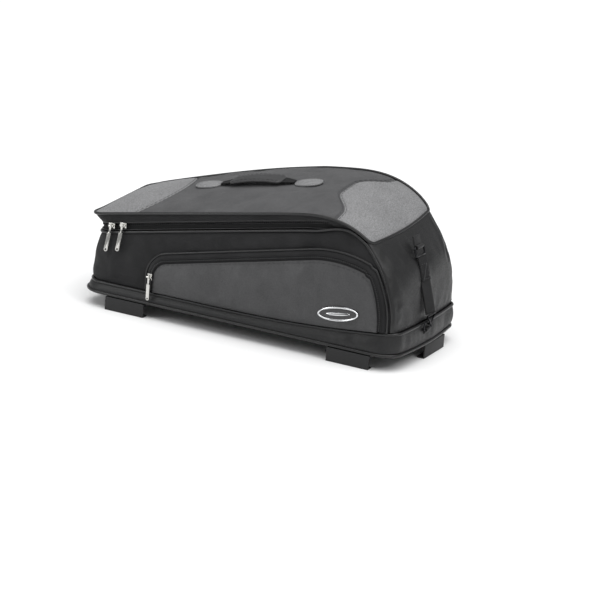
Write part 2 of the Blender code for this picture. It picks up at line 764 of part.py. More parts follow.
def pocket_band(name, outside, inside, n_low, n_high, material):
    """A strip that follows the pocket's outline, between two insets and two distances off the wall."""
    rings = []
    for inset, n in ((outside, n_high), (inside, n_high), (inside, n_low), (outside, n_low)):
        rings.append([(x, -(wall_n(x, z) + n), z) for x, z in pocket_path(inset)])
    return lofted(name, rings[:2], [rings[3], rings[2]], material)


def build_pocket(mat):
    pocket_band("pocket_gusset", -7.4, -3.4, GAP, 5.5, mat["nylon"])
    pocket_band("pocket_zip", -3.0, 3.0, 4.3, 5.9, mat["tape"])
    edge = [(x, -(wall_n(x, z) + 1.9), z) for x, z in pocket_path(-9.6, False)]
    tube("pocket_piping", edge, 1.5, mat["piping"])

    rim = pocket_path(3.6)
    rows = 5
    outer, inner = [], []
    for r in range(rows + 1):
        v = r / rows
        row, row_in = [], []
        for i, (x, z) in enumerate(rim):
            foot_x = rim[0][0] + (rim[-1][0] - rim[0][0]) * i / (len(rim) - 1)
            foot_z = body_foot(foot_x) + 4.4
            px, pz = foot_x + v * (x - foot_x), foot_z + v * (z - foot_z)
            if i in (0, len(rim) - 1):
                pz = foot_z + v * max(z - foot_z, 3)
            u = i / (len(rim) - 1)
            pad = 5.0 * math.sin(math.pi * v) * math.sin(math.pi * u) ** 0.6
            n = wall_n(px, pz) + 5.6 + pad
            row.append((px, -n, pz))
            row_in.append((px, -(n - 2.0), pz))
        outer.append(row)
        inner.append(row_in)
    lofted("pocket_panel", outer, inner, mat["vinyl"])


def build_badge(mat):
    """An oval badge, tilted with the pocket's top line: a chrome rim round a dark plate."""
    x, z = 162.0, 50.0
    n = wall_n(x, z) + 10.4
    tilt = math.atan(0.16)
    turn = Matrix.Translation(Vector((x, -n, z + BASE_Z)) * MM) @ Matrix.Rotation(-tilt, 4, "Y")
    for name, length, height, hole, low, high in (("badge_plate", 54, 15.4, 0, 0.2, 1.4),
                                                  ("badge_rim", 60, 20, 1, 0.2, 2.2)):
        bm = bmesh.new()
        rings = []
        sizes = [(length, height)] + ([(length - 5, height - 3.9)] if hole else [])
        for long, tall in sizes:
            for y in (-low, -high):
                rings.append([bm.verts.new((a * MM, y * MM, b * MM)) for a, b in oval_ellipse(long, tall)])
        count = len(rings[0])
        for i in range(count):
            j = (i + 1) % count
            bm.faces.new([rings[0][i], rings[0][j], rings[1][j], rings[1][i]])
            if hole:
                bm.faces.new([rings[2][j], rings[2][i], rings[3][i], rings[3][j]])
                bm.faces.new([rings[1][i], rings[1][j], rings[3][j], rings[3][i]])
                bm.faces.new([rings[0][j], rings[0][i], rings[2][i], rings[2][j]])
        if not hole:
            bm.faces.new(rings[0][::-1])
            bm.faces.new(rings[1])
        mesh_object(name, bm, mat["chrome"]).matrix_world = turn


def oval_ellipse(length, height, steps=28):
    return [(length / 2 * math.cos(2 * math.pi * i / steps), height / 2 * math.sin(2 * math.pi * i / steps))
            for i in range(steps)]


# ---------------------------------------------------------------- zip sliders and pulls


def pull(name, matrix, length, width, mat):
    """A flat metal tongue that hangs from a bail rod through the origin."""
    eye = rod(2.2, 3.4, (0, 0, 0), "X")
    shank = box((2.8, 1.1, 10), (0, 0, -6.4))
    outline = [(-width / 2, -10.5), (width / 2, -10.5)]
    for i in range(9):
        a = math.pi * i / 8
        outline.append((width / 2 * math.cos(a), -length + width / 2 * (1 - math.sin(a))))
    blade = bmesh.new()
    face = blade.faces.new([blade.verts.new((x * MM, -0.8 * MM, z * MM)) for x, z in outline])
    grown = bmesh.ops.extrude_face_region(blade, geom=[face])
    bmesh.ops.translate(blade, vec=(0, 1.6 * MM, 0),
                        verts=[v for v in grown["geom"] if isinstance(v, bmesh.types.BMVert)])
    cutters = [rod(1.3, 8, (0, 0, 0), "X"), rod(width * 0.24, 6, (0, 0, -length + width / 2), "Y")]
    combined(name, [eye, shank, blade], cutters, mat["metal"], matrix)


def slider(name, size, matrix, bail_n, mat):
    """A slider's body with its bail. Local: X across the pull, -Y outwards, Z up."""
    wide, thick, tall = size
    bodies = [box((wide, thick, tall), (0, -thick / 2, 0))]
    for x in (-3.3, 3.3):
        bodies.append(box((1.6, bail_n - thick + 1.2, 2.4), (x, -(bail_n + thick) / 2 + 0.2, 0)))
    bodies.append(rod(0.8, 7.0, (0, -bail_n, 0), "X", 10))
    combined(name, bodies, [], mat["metal"], matrix)


def build_sliders(mat):
    hang = Matrix.Rotation(PULL_LEAN, 4, "Y") @ Matrix.Rotation(-PULL_TILT, 4, "X")
    for letter, x in (("a", SLIDER_A_X), ("b", SLIDER_B_X)):
        at = Matrix.Translation(Vector((x, -SLIDER_N, zip_line(x) + BASE_Z)) * MM)
        slider("main_slider_" + letter, (10, 2.4, 7.4), at, BAIL_N, mat)
        bail = at @ Matrix.Translation(Vector((0, -BAIL_N, 0)) * MM)
        pull("main_pull_" + letter, bail @ hang, PULL_LENGTH, 6.0, mat)
    x, z = POCKET_ARC_X - POCKET_ARC_R, POCKET_ARC_Z
    at = Matrix.Translation(Vector((x, -(wall_n(x, z) + 6.7), z + BASE_Z)) * MM)
    slider("pocket_slider", (7.0, 2.2, 9.0), at, 4.9, mat)
    pull("pocket_pull", at @ Matrix.Translation(Vector((0, -4.9, 0)) * MM), POCKET_PULL_LENGTH, 5.0, mat)


# ---------------------------------------------------------------- end straps


def frame_ring(name, centre, width, height, radius, mat, lean=0.0):
    """A rounded rectangular wire ring that stands across X."""
    points = []
    corner = 2.5
    wide, tall = width / 2 - corner, height / 2 - corner
    for cy, cz, start in ((wide, tall, 0), (-wide, tall, 90), (-wide, -tall, 180), (wide, -tall, 270)):
        for k in range(4):
            a = math.radians(start + 30 * k)
            y, z = cy + corner * math.cos(a), cz + corner * math.sin(a)
            points.append((centre[0] - z * math.sin(lean), centre[1] + y, centre[2] + z * math.cos(lean)))
    return tube(name, points, radius, mat["metal"], True, 8, False)


def panel_x(y, z):
    """x of the front end panel's middle at a warped height."""
    low, high = 35.0, 160.0
    for _ in range(30):
        middle = (low + high) / 2
        if warp(220, y, middle).z < z:
            low = middle
        else:
            high = middle
    return front_x(low)


def strap_eye():
    """x, y and z of the axis that the end strap swings on."""
    return Vector((panel_x(STRAP_Y, 137.0) + 7.6, STRAP_Y, 137.0))


def build_strap(mat):
    """The front end's strap: anchor, swinging ring, webbing and a triangular hook held by the base ring."""
    eye = strap_eye()
    y = eye.y
    foot = Vector((REACH - 3.6, y, 46.0))
    down = (foot - eye).normalized()
    lean = math.atan2(down.x, -down.z)
    turn = Matrix.Translation((eye + Vector((0, 0, BASE_Z))) * MM) @ Matrix.Rotation(-lean, 4, "Y")
    anchor = [rod(3.2, 20, (0, 0, 0), "Y"), box((2.2, 20, 15), (-1.9, 0, 8.5))]
    combined("strap_anchor", anchor, [rod(2.0, 30, (0, 0, 0), "Y")], mat["webbing"], turn)
    frame_ring("strap_ring", eye + down * 6.0, 30.0, 12.0, 1.5, mat, lean)

    start, stop = eye + down * 14.4, foot + Vector((0, 0, 1.8))
    length = (stop - start).length
    webbing = box((2.0, STRAP_WIDTH, length), (0, 0, -14.4 - length / 2))
    mesh_object("end_strap", webbing, mat["webbing"]).matrix_world = turn

    bar = [(foot.x, y + s * 13.0, foot.z - 0.2) for s in (-1, 1)]
    hook = tube("strap_hook", [(foot.x, y, 32.0), bar[0], bar[1]], 1.5, mat["metal"], True, 8, False)
    tool = mesh_object("strap_hook_lip", rod(1.3, 5.6, (foot.x - 2.0, y, 32.0 + BASE_Z), "X"), mat["metal"])
    tool.hide_render = True
    tool.display_type = "WIRE"
    step = hook.modifiers.new("Boolean", "BOOLEAN")
    step.operation = "UNION"
    step.solver = "EXACT"
    step.object = tool

    ring_x = REACH - 7.4
    frame_ring("strap_base_ring", Vector((ring_x, y, 30.0)), 24.0, 11.4, 1.3, mat)
    low = Matrix.Translation(Vector((ring_x, y, 24.3 + BASE_Z)) * MM)
    tab = [rod(2.8, 14, (0, 0, 0), "Y"), box((1.6, 14, 6.6), (-1.5, 0, -2.6))]
    combined("strap_base_tab", tab, [rod(1.8, 30, (0, 0, 0), "Y")], mat["webbing"], low)


# ---------------------------------------------------------------- joints


def hang_from(names, x, y, z):
    """Put the origins of moving pieces on their joint's axis, given in mm above the base pad."""
    for name in names:
        obj = bpy.data.objects[name]
        there = Matrix.Translation(Vector((x, y, z + BASE_Z)) * MM)
        step = Matrix.Translation((obj.matrix_world.inverted() @ there).translation)
        obj.data.transform(step.inverted())
        obj.matrix_world = obj.matrix_world @ step


def hang_moving_pieces():
    lid = ["lid_rear_insert", "lid_centre_panel", "lid_front_insert", "lid_rim", "lid_piping", "lid_lining",
           "lid_mesh_pocket", "main_tape_upper", "main_chain_upper", "handle_cap_rear", "handle_cap_front"]
    hang_from(lid, HINGE_X, 0, HINGE_Z)
    corner = CHAIN_REAR_X + CHAIN_CORNER_R
    hang_from(["main_slider_b"], corner, -(CHAIN_N - CHAIN_CORNER_R), zip_line(corner))
    hang_from(["pocket_slider"], POCKET_ARC_X, -wall_n(POCKET_ARC_X, POCKET_ARC_Z), POCKET_ARC_Z)
    hang_from(["strap_ring", "end_strap", "strap_hook"], *strap_eye())
    for name in ("handle_strap", "handle_grip"):
        obj = bpy.data.objects[name]
        lift = Matrix.Translation((0, 0, HANDLE_LIFT * MM))
        obj.data.transform(lift.inverted())
        obj.matrix_world = obj.matrix_world @ lift


def clear_scene():
    for obj in list(bpy.data.objects):
        bpy.data.objects.remove(obj)


def build():
    clear_scene()
    mat = make_materials()
    build_base(mat)
    build_hooks(mat)
    build_walls(mat)
    build_main_zip(mat)
    build_lid(mat)
    build_handle(mat)
    build_pocket(mat)
    build_badge(mat)
    build_sliders(mat)
    build_strap(mat)
    bpy.context.view_layer.update()
    hang_moving_pieces()
    for obj in bpy.context.scene.objects:
        obj.matrix_world = Matrix.Translation((SHIFT_X * MM, SHIFT_Y * MM, 0)) @ obj.matrix_world
    bpy.context.view_layer.update()


build()
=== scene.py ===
import math

import bmesh
import bpy
from mathutils import Matrix, Vector, kdtree, noise


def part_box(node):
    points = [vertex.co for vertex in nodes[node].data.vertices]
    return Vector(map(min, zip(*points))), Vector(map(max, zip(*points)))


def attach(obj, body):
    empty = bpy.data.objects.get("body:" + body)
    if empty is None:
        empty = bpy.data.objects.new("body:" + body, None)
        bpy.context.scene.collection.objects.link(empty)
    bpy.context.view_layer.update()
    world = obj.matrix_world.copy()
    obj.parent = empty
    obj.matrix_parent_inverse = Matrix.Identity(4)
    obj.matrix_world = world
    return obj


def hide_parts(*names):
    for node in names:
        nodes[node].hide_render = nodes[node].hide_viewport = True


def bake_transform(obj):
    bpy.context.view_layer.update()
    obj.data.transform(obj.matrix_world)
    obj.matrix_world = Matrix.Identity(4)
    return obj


# A soft zipped bag that straps onto a hard case lid: woven nylon walls, grained vinyl trim, nickel zip pulls.
# The shape functions work in millimetres above the base pad; spot() turns them to the scene's metres.

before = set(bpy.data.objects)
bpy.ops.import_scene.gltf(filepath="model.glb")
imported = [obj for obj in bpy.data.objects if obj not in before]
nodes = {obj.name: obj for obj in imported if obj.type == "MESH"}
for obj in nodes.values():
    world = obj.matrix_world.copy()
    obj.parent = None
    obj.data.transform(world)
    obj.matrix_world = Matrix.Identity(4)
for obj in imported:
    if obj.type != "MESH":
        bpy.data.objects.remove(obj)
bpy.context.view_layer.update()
mm = 0.001
print("frame loaded:", len(nodes), "parts")


# the bag's outline, shared by every sewn piece

bag = {"baseZ": 20.0, "shiftX": 4.0, "shiftY": 1.0, "halfWidth": 102.5, "topHalf": 98.0, "zipSlope": 0.195,
       "zipHeight": 142.0, "lidRear": -249.0, "lidFront": 192.0, "crown": 9.0, "inboardRise": 17.0,
       "rearSlant": 0.055, "rearX": -206.0}


def clamp(value, low=0.0, high=1.0):
    return min(max(value, low), high)


def ease(t):
    t = clamp(t)
    return t * t * (3 - 2 * t)


def bodyFoot(x):
    return 16 + 17 * clamp((x + 60) / 300) ** 2.5


def lidEdge(x):
    return 113 + 0.18 * (x + 240.5) - 40 * clamp((x - 60) / 132, 0, 1.15) ** 3


def zipLine(x):
    if x <= 100:
        return bag["zipHeight"] + bag["zipSlope"] * x
    return lidEdge(x) - 11.7 + 9.0 * ease((x - 100) / 70)


def wallTop(x):
    return zipLine(x) - 10.5 + 7.2 * ease((x - 105) / 60)


def seamX(z):
    return 236 - 51 * (max(z - 45, 0) / 105) ** 2


def frontX(z):
    return 248 - 0.13 * (z - 32) - 27 * (max(z - 85, 0) / 67) ** 2


def wallN(x, z):
    low, high = bodyFoot(x), wallTop(min(x, 172))
    v = clamp((z - low) / (high - low))
    return bag["halfWidth"] - 5.5 * v ** 2 + 1.5 * math.sin(math.pi * v)


def lidFrontEdge(y, inset=0.0):
    start = bag["topHalf"] + 0.2 - 8
    radius = 8 - inset
    over = clamp(abs(y) - start, 0, radius)
    bow = 6 * (1 - min(abs(y) / bag["topHalf"], 1.0) ** 2)
    return bag["lidFront"] + 2 + bow - 8 + math.sqrt(radius ** 2 - over ** 2)


def lidRearEdge(y, inset=0.0):
    start = bag["topHalf"] + 0.2 - 22
    radius = 22 - inset
    over = clamp(abs(y) - start, 0, radius)
    return bag["lidRear"] + 22 - math.sqrt(radius ** 2 - over ** 2)


def lidTop(x, y):
    across = 1 - min(abs(y) / bag["topHalf"], 1.0) ** 2.4
    rear = 1 - math.exp(-max(x - bag["lidRear"], 0) / 22)
    front = 1 - math.exp(-max(lidFrontEdge(y) - x, 0) / 22)
    return lidEdge(x) + bag["crown"] * across * (0.3 + 0.7 * rear * front)


def warp(x, y, z):
    if x < 0:
        x *= 1 + bag["rearSlant"] * clamp((y + 60) / 158)
    along = clamp((x - bag["lidRear"]) / (bag["lidFront"] - bag["lidRear"]))
    rise = 12 + bag["inboardRise"] * math.sin(math.pi * along) ** 0.8
    across = clamp((y + bag["topHalf"]) / (2 * bag["topHalf"]))
    return Vector((x, y, z + rise * across * clamp((z - 35) / 105, 0, 1.2)))


def spot(x, y, z):
    return (warp(x, y, z) + Vector((bag["shiftX"], bag["shiftY"], bag["baseZ"]))) * mm


# paths

def quarter(cx, cy, radius, start, steps=12):
    turns = [math.radians(start + 90 * i / steps) for i in range(steps + 1)]
    return [(cx + radius * math.cos(a), cy + radius * math.sin(a)) for a in turns]


def rearLoop(halfWidth, xRear, radius, xEnd, bow=0.0, steps=60):
    # back along the outboard side, round the rear and forwards again
    side = [(xEnd + (xRear + radius - xEnd) * i / steps, -halfWidth) for i in range(steps)]
    half = side + quarter(xRear + radius, -halfWidth + radius, radius, 180)[::-1]
    rear = []
    for i in range(1, 24):
        y = (-1 + 2 * i / 24) * (halfWidth - radius)
        rear.append((xRear - bow * (1 - (y / (halfWidth - radius)) ** 2), y))
    return half + rear + [(x, -y) for x, y in half[::-1]]


def roundedOutline(halfWidth, xRear, xFront, rRear, rFront, bowRear=0.0, bowFront=0.0, steps=60):
    points = []
    for i in range(steps):
        points.append((xRear + rRear + i / steps * (xFront - rFront - xRear - rRear), -halfWidth))
    points += quarter(xFront - rFront, -halfWidth + rFront, rFront, -90)
    for i in range(1, 24):
        y = (-1 + 2 * i / 24) * (halfWidth - rFront)
        points.append((xFront + bowFront * (1 - (y / (halfWidth - rFront)) ** 2), y))
    points += quarter(xFront - rFront, halfWidth - rFront, rFront, 0)
    for i in range(1, steps):
        points.append((xRear + rRear + (1 - i / steps) * (xFront - rFront - xRear - rRear), halfWidth))
    points += quarter(xRear + rRear, halfWidth - rRear, rRear, 90)
    for i in range(1, 24):
        y = (1 - 2 * i / 24) * (halfWidth - rRear)
        points.append((xRear - bowRear * (1 - (y / (halfWidth - rRear)) ** 2), y))
    return points + quarter(xRear + rRear, -halfWidth + rRear, rRear, 180)[:-1]


class Walk:
    # a path that can be asked for the point any share of the way along it
    def __init__(self, points, closed=False):
        self.points = [Vector(p) for p in points]
        if closed:
            self.points.append(self.points[0].copy())
        self.marks = [0.0]
        for a, b in zip(self.points, self.points[1:]):
            self.marks.append(self.marks[-1] + (b - a).length)
        self.length = self.marks[-1]

    def at(self, share):
        want = clamp(share) * self.length
        low, high = 0, len(self.marks) - 1
        while high - low > 1:
            middle = (low + high) // 2
            if self.marks[middle] <= want:
                low = middle
            else:
                high = middle
        gap = self.marks[high] - self.marks[low]
        return self.points[low].lerp(self.points[high], (want - self.marks[low]) / gap if gap else 0)

    def heading(self, share):
        step = 0.5 / 400
        return (self.at(share + step) - self.at(share - step)).normalized()


# materials

def toLinear(code):
    parts = [int(code[i:i + 2], 16) / 255 for i in (0, 2, 4)]
    return [c / 12.92 if c <= 0.04045 else ((c + 0.055) / 1.055) ** 2.4 for c in parts] + [1.0]


def addNode(tree, kind, settings=None, links=None):
    node = tree.nodes.new(kind)
    for key, value in (settings or {}).items():
        if isinstance(key, str) and hasattr(node, key):
            setattr(node, key, value)
        else:
            node.inputs[key].default_value = value
    for key, socket in (links or {}).items():
        tree.links.new(socket, node.inputs[key])
    return node


def startMaterial(name, values):
    material = bpy.data.materials.new(name)
    material.use_nodes = True
    shader = material.node_tree.nodes["Principled BSDF"]
    for key, value in values.items():
        shader.inputs[key].default_value = value
    return material, material.node_tree, shader


def mottled(tree, dark, light, scale, vector):
    # slow colour change over the cloth, as dye and handling leave it
    patch = addNode(tree, "ShaderNodeTexNoise", {"Scale": scale, "Detail": 4.0, "Roughness": 0.6},
                    {"Vector": vector})
    ramp = addNode(tree, "ShaderNodeValToRGB", None, {"Fac": patch.outputs["Fac"]})
    for stop, position, code in zip(ramp.color_ramp.elements, (0.28, 0.72), (dark, light)):
        stop.position = position
        stop.color = toLinear(code)
    return ramp


def wovenCloth(name, dark, light, pitch, values, strength=0.6, depth=0.25, rib=1.0):
    # plain weave: threads pass over and under each other, a square of each per pitch
    material, tree, shader = startMaterial(name, values)
    uv = addNode(tree, "ShaderNodeUVMap", {"uv_map": "cloth"})
    grid = addNode(tree, "ShaderNodeMapping", {"Scale": (1 / (pitch * mm), rib / (pitch * mm), 1)},
                   {"Vector": uv.outputs["UV"]})
    axes = addNode(tree, "ShaderNodeSeparateXYZ", None, {"Vector": grid.outputs["Vector"]})
    threads = []
    for axis in "XY":
        turn = addNode(tree, "ShaderNodeMath", {"operation": "MULTIPLY", 1: math.pi}, {0: axes.outputs[axis]})
        wave = addNode(tree, "ShaderNodeMath", {"operation": "SINE"}, {0: turn.outputs[0]})
        threads.append(addNode(tree, "ShaderNodeMath", {"operation": "ABSOLUTE"}, {0: wave.outputs[0]}))
    over = addNode(tree, "ShaderNodeTexChecker",
                   {"Scale": 1.0, "Color1": (1, 1, 1, 1), "Color2": (0, 0, 0, 1)},
                   {"Vector": grid.outputs["Vector"]})
    height = addNode(tree, "ShaderNodeMix", {"data_type": "FLOAT"},
                     {0: over.outputs["Fac"], 2: threads[0].outputs[0], 3: threads[1].outputs[0]})
    place = addNode(tree, "ShaderNodeTexCoord")
    ramp = mottled(tree, dark, light, 26.0, place.outputs["Object"])
    # painted shade between the threads and painted light on their crowns: the yarn's colour is scaled by the
    # weave's height
    shade = addNode(tree, "ShaderNodeMapRange", {"To Min": 0.45, "To Max": 1.25},
                    {"Value": height.outputs[0]})
    tint = addNode(tree, "ShaderNodeVectorMath", {"operation": "SCALE"},
                   {0: ramp.outputs["Color"], "Scale": shade.outputs[0]})
    tree.links.new(tint.outputs["Vector"], shader.inputs["Base Color"])
    fuzz = addNode(tree, "ShaderNodeTexNoise", {"Scale": 1600.0, "Detail": 2.0},
                   {"Vector": place.outputs["Object"]})
    rough = addNode(tree, "ShaderNodeMath", {"operation": "MULTIPLY_ADD", 1: 0.25, 2: 1.0},
                    {0: fuzz.outputs["Fac"]})
    bumpHeight = addNode(tree, "ShaderNodeMath", {"operation": "MULTIPLY"},
                         {0: height.outputs[0], 1: rough.outputs[0]})
    bump = addNode(tree, "ShaderNodeBump", {"Strength": strength, "Distance": depth * mm},
                   {"Height": bumpHeight.outputs[0]})
    tree.links.new(bump.outputs["Normal"], shader.inputs["Normal"])
    return material


def grainedVinyl(name, dark, light, grain, values, strength=0.35, depth=0.3, shading=0.12):
    # pebbled grain pressed into the face: rounded cells of about the grain's width, with fine pores between
    material, tree, shader = startMaterial(name, values)
    place = addNode(tree, "ShaderNodeTexCoord")
    drift = addNode(tree, "ShaderNodeTexNoise", {"Scale": 220.0, "Detail": 2.0},
                    {"Vector": place.outputs["Object"]})
    shift = addNode(tree, "ShaderNodeMix", {"data_type": "VECTOR", 0: 0.0012},
                    {4: place.outputs["Object"], 5: drift.outputs["Color"]})
    cells = addNode(tree, "ShaderNodeTexVoronoi", {"feature": "SMOOTH_F1", "Scale": 1 / (grain * mm),
                    "Smoothness": 0.35}, {"Vector": shift.outputs[1]})
    pebble = addNode(tree, "ShaderNodeMapRange",
                     {"From Min": 0.1, "From Max": 0.75, "To Min": 1.0, "To Max": 0.0,
                      "interpolation_type": "SMOOTHSTEP"}, {"Value": cells.outputs["Distance"]})
    ramp = mottled(tree, dark, light, 18.0, place.outputs["Object"])
    # painted shade in the valleys between the pebbles and painted light on their tops, by the amount shading
    shade = addNode(tree, "ShaderNodeMapRange", {"To Min": 1 - shading, "To Max": 1 + shading * 0.5},
                    {"Value": pebble.outputs[0]})
    tint = addNode(tree, "ShaderNodeVectorMath", {"operation": "SCALE"},
                   {0: ramp.outputs["Color"], "Scale": shade.outputs[0]})
    tree.links.new(tint.outputs["Vector"], shader.inputs["Base Color"])
    base = values["Roughness"]
    rough = addNode(tree, "ShaderNodeMapRange", {"To Min": base + 0.14, "To Max": base - 0.06},
                    {"Value": pebble.outputs[0]})
    tree.links.new(rough.outputs[0], shader.inputs["Roughness"])
    bump = addNode(tree, "ShaderNodeBump", {"Strength": strength, "Distance": depth * mm},
                   {"Height": pebble.outputs[0]})
    tree.links.new(bump.outputs["Normal"], shader.inputs["Normal"])
    return material


def platedMetal(name, code, roughness, haze):
    # a bright plated skin: clean reflections, broken only by faint handling marks
    material, tree, shader = startMaterial(name, {"Base Color": toLinear(code), "Metallic": 1.0,
                                                  "Roughness": roughness})
    place = addNode(tree, "ShaderNodeTexCoord")
    marks = addNode(tree, "ShaderNodeTexNoise", {"Scale": 420.0, "Detail": 5.0, "Roughness": 0.7},
                    {"Vector": place.outputs["Object"]})
    rough = addNode(tree, "ShaderNodeMapRange",
                    {"To Min": roughness - haze * 0.5, "To Max": roughness + haze},
                    {"Value": marks.outputs["Fac"]})
    tree.links.new(rough.outputs[0], shader.inputs["Roughness"])
    bump = addNode(tree, "ShaderNodeBump", {"Strength": 0.08, "Distance": 0.05 * mm},
                   {"Height": marks.outputs["Fac"]})
    tree.links.new(bump.outputs["Normal"], shader.inputs["Normal"])
    return material


def mouldedSkin(name, dark, light, roughness, grit, strength=0.2, depth=0.15):
    # moulded rubber or plastic with the fine spark texture of its mould
    material, tree, shader = startMaterial(name, {"Roughness": roughness})
    place = addNode(tree, "ShaderNodeTexCoord")
    ramp = mottled(tree, dark, light, 40.0, place.outputs["Object"])
    tree.links.new(ramp.outputs["Color"], shader.inputs["Base Color"])
    spark = addNode(tree, "ShaderNodeTexNoise", {"Scale": 1 / (grit * mm), "Detail": 3.0},
                    {"Vector": place.outputs["Object"]})
    bump = addNode(tree, "ShaderNodeBump", {"Strength": strength, "Distance": depth * mm},
                   {"Height": spark.outputs["Fac"]})
    tree.links.new(bump.outputs["Normal"], shader.inputs["Normal"])
    return material


cloth = {"Roughness": 0.86, "Sheen Weight": 0.06, "Sheen Roughness": 0.4, "Specular IOR Level": 0.28}
satin = {"Roughness": 0.5, "Specular IOR Level": 0.45}
softSatin = {"Roughness": 0.43, "Specular IOR Level": 0.45}
matt = {"Roughness": 0.85, "Specular IOR Level": 0.3}
looks = {
    # ballistic nylon: coarse yarn in a plain weave, which breaks the light into dots;
    # drawn at 1.1 mm, about twice the real pitch, so the threads show
    "nylon": wovenCloth("ballistic nylon", "1b1b1c", "262627", 1.1, cloth, 0.7, 0.3),
    # the same yarn on the lid, painted paler than the walls: the lighter colour is painted sheen, standing
    # for the light the overhead lamp grazes across the top
    "lidNylonPaintedSheen": wovenCloth("ballistic nylon, lid, painted sheen", "4a4a4b", "575758", 1.1, cloth, 0.7, 0.3),
    # grained vinyl: pebbles about 1.3 mm across under a satin top coat, for a soft broad sheen
    "vinyl": grainedVinyl("grained vinyl", "353536", "424243", 1.3, satin),
    # the same grain dyed black, a little shinier, so its folds catch narrow highlights
    "vinylDark": grainedVinyl("grained vinyl, black", "0d0d0e", "141415", 1.3, softSatin),
    # finer grain for the hand sleeve, painted paler than black vinyl all over: painted sheen for the overhead
    # light on the top of the bag
    "gripVinylPaintedSheen": grainedVinyl("grained vinyl, handle, painted sheen", "2c2c2d", "3a3a3b", 1.1, satin),
    # deep coarse grain on the inserts: painted shade in the valleys and painted light on the pebble tops give
    # a speckle; the vinyl is paler than the centre, and its colour is raised further as painted sheen from
    # the overhead light
    "greyVinylAndPaintedSheen": grainedVinyl("grained vinyl, charcoal, painted sheen", "7a7a7b", "8a8a8b", 1.6, satin, 0.6, 0.4, 0.32),
    # piping: a thin vinyl strip folded round a cord, smoother and shinier where it is stretched
    "piping": grainedVinyl("vinyl piping", "0b0b0c", "121213", 0.8, {"Roughness": 0.3}, 0.15, 0.1),
    # zip tape: fine dull polyester weave, a shade darker than the cloth beside it
    "tape": wovenCloth("zip tape", "0e0e0f", "151516", 0.7, matt, 0.5, 0.12),
    # nylon monofilament coil: smooth, so each turn carries its own small glint
    "coil": mouldedSkin("nylon zip coil", "161617", "1e1e20", 0.38, 0.3, 0.1, 0.05),
    # bonded thread: waxy and slightly paler than the cloth, so the rows can be followed
    "thread": mouldedSkin("bonded nylon thread", "2c2c2e", "3a3a3c", 0.5, 0.2, 0.3, 0.1),
    # strap webbing: broad ribs across a dull band, drawn a little coarse at 1.6 mm
    "webbing": wovenCloth("polypropylene webbing", "101011", "181819", 1.6,
                          {"Roughness": 0.75, "Specular IOR Level": 0.3}, 0.9, 0.4, 0.55),
    # rubber coating on the clips: near black, dull, with a faint mould texture
    "rubber": mouldedSkin("coated clip rubber", "0f0f10", "171718", 0.62, 0.35),
    # pressed plastic sheet that stiffens the floor: dark grey with a half-gloss face
    "board": mouldedSkin("polypropylene board", "232323", "2c2c2c", 0.5, 0.5),
    # thin blue-grey lining cloth, paler than the outside so the inside reads when open
    "packCloth": wovenCloth("pack cloth lining", "3b3c40", "494a4e", 0.8, {"Roughness": 0.85}, 0.4, 0.1),
    # knitted net: open loops about 2.5 mm apart
    "net": wovenCloth("knitted net", "1d1d1f", "2a2a2c", 2.5, {"Roughness": 0.9}, 1.0, 0.8),
    # elastic binding: soft fuzzy cord, with almost no highlight
    "webbingCord": mouldedSkin("elastic binding", "161617", "202021", 0.8, 0.5, 0.4, 0.2),
    # the same lining cloth where it is glued down and has no weave direction to follow
    "lining": mouldedSkin("pack cloth lining", "3b3c40", "494a4e", 0.85, 0.6, 0.5, 0.2),
    # nickel over zinc alloy: slightly warm and very bright
    "nickel": platedMetal("nickel-plated zinc alloy", "c9c8c4", 0.16, 0.12),
    # the strap's fittings are blackened steel, shiny only where they rub
    "blackMetal": platedMetal("black-oxide steel", "2f2f31", 0.3, 0.15),
    # chrome on the badge: a cold mirror that shows the light and dark of the room
    "chrome": platedMetal("chrome-plated badge", "dddee0", 0.08, 0.06),
    # poured enamel: dark and glassy between the bright rim and bar
    "enamel": mouldedSkin("dark enamel", "2a2a2b", "333334", 0.25, 0.4, 0.05, 0.03),
}
print("materials made:", len(looks))


# making pieces

def finishPiece(name, bm, look, body, replaced=(), angle=50, recalc=True):
    bmesh.ops.remove_doubles(bm, verts=bm.verts, dist=1e-7)
    if recalc:
        bmesh.ops.recalc_face_normals(bm, faces=bm.faces)
    mesh = bpy.data.meshes.new(name)
    bm.to_mesh(mesh)
    bm.free()
    mesh.shade_smooth()
    mesh.set_sharp_from_angle(angle=math.radians(angle))
    mesh.materials.append(looks[look])
    piece = bpy.data.objects.new(name, mesh)
    bpy.context.scene.collection.objects.link(piece)
    if body:
        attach(piece, body)
    if replaced:
        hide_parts(*replaced)
    return piece


def clothGrid(columns, rows, place, width, height, outward):
    # a grid of cloth laid onto a surface, its UV map in metres, facing along outward(co)
    bm = bmesh.new()
    bmesh.ops.create_grid(bm, x_segments=columns, y_segments=rows, size=0.5, calc_uvs=False)
    layer = bm.loops.layers.uv.new("cloth")
    for face in bm.faces:
        for loop in face.loops:
            loop[layer].uv = ((loop.vert.co.x + 0.5) * width, (loop.vert.co.y + 0.5) * height)
    for vert in bm.verts:
        vert.co = place(vert.co.x + 0.5, vert.co.y + 0.5)
    bm.normal_update()
    lean = sum(face.normal.dot(outward(face.calc_center_median())) for face in bm.faces)
    if lean < 0:
        bmesh.ops.reverse_faces(bm, faces=bm.faces)
    return bm


def toward(x, y, z):
    direction = Vector((x, y, z))
    return lambda co: direction


def outwardFrom(x, y, z):
    centre = Vector((x, y, z))
    return lambda co: co - centre


def thicken(piece, thickness, smooth=0):
    # a wall on the inside of a cloth face, smoothed first
    if smooth:
        soften = piece.modifiers.new("Subdivision", "SUBSURF")
        soften.levels = soften.render_levels = smooth
    wall = piece.modifiers.new("Solidify", "SOLIDIFY")
    wall.thickness = thickness * mm
    wall.offset = -1
    wall.use_even_offset = True
    return piece


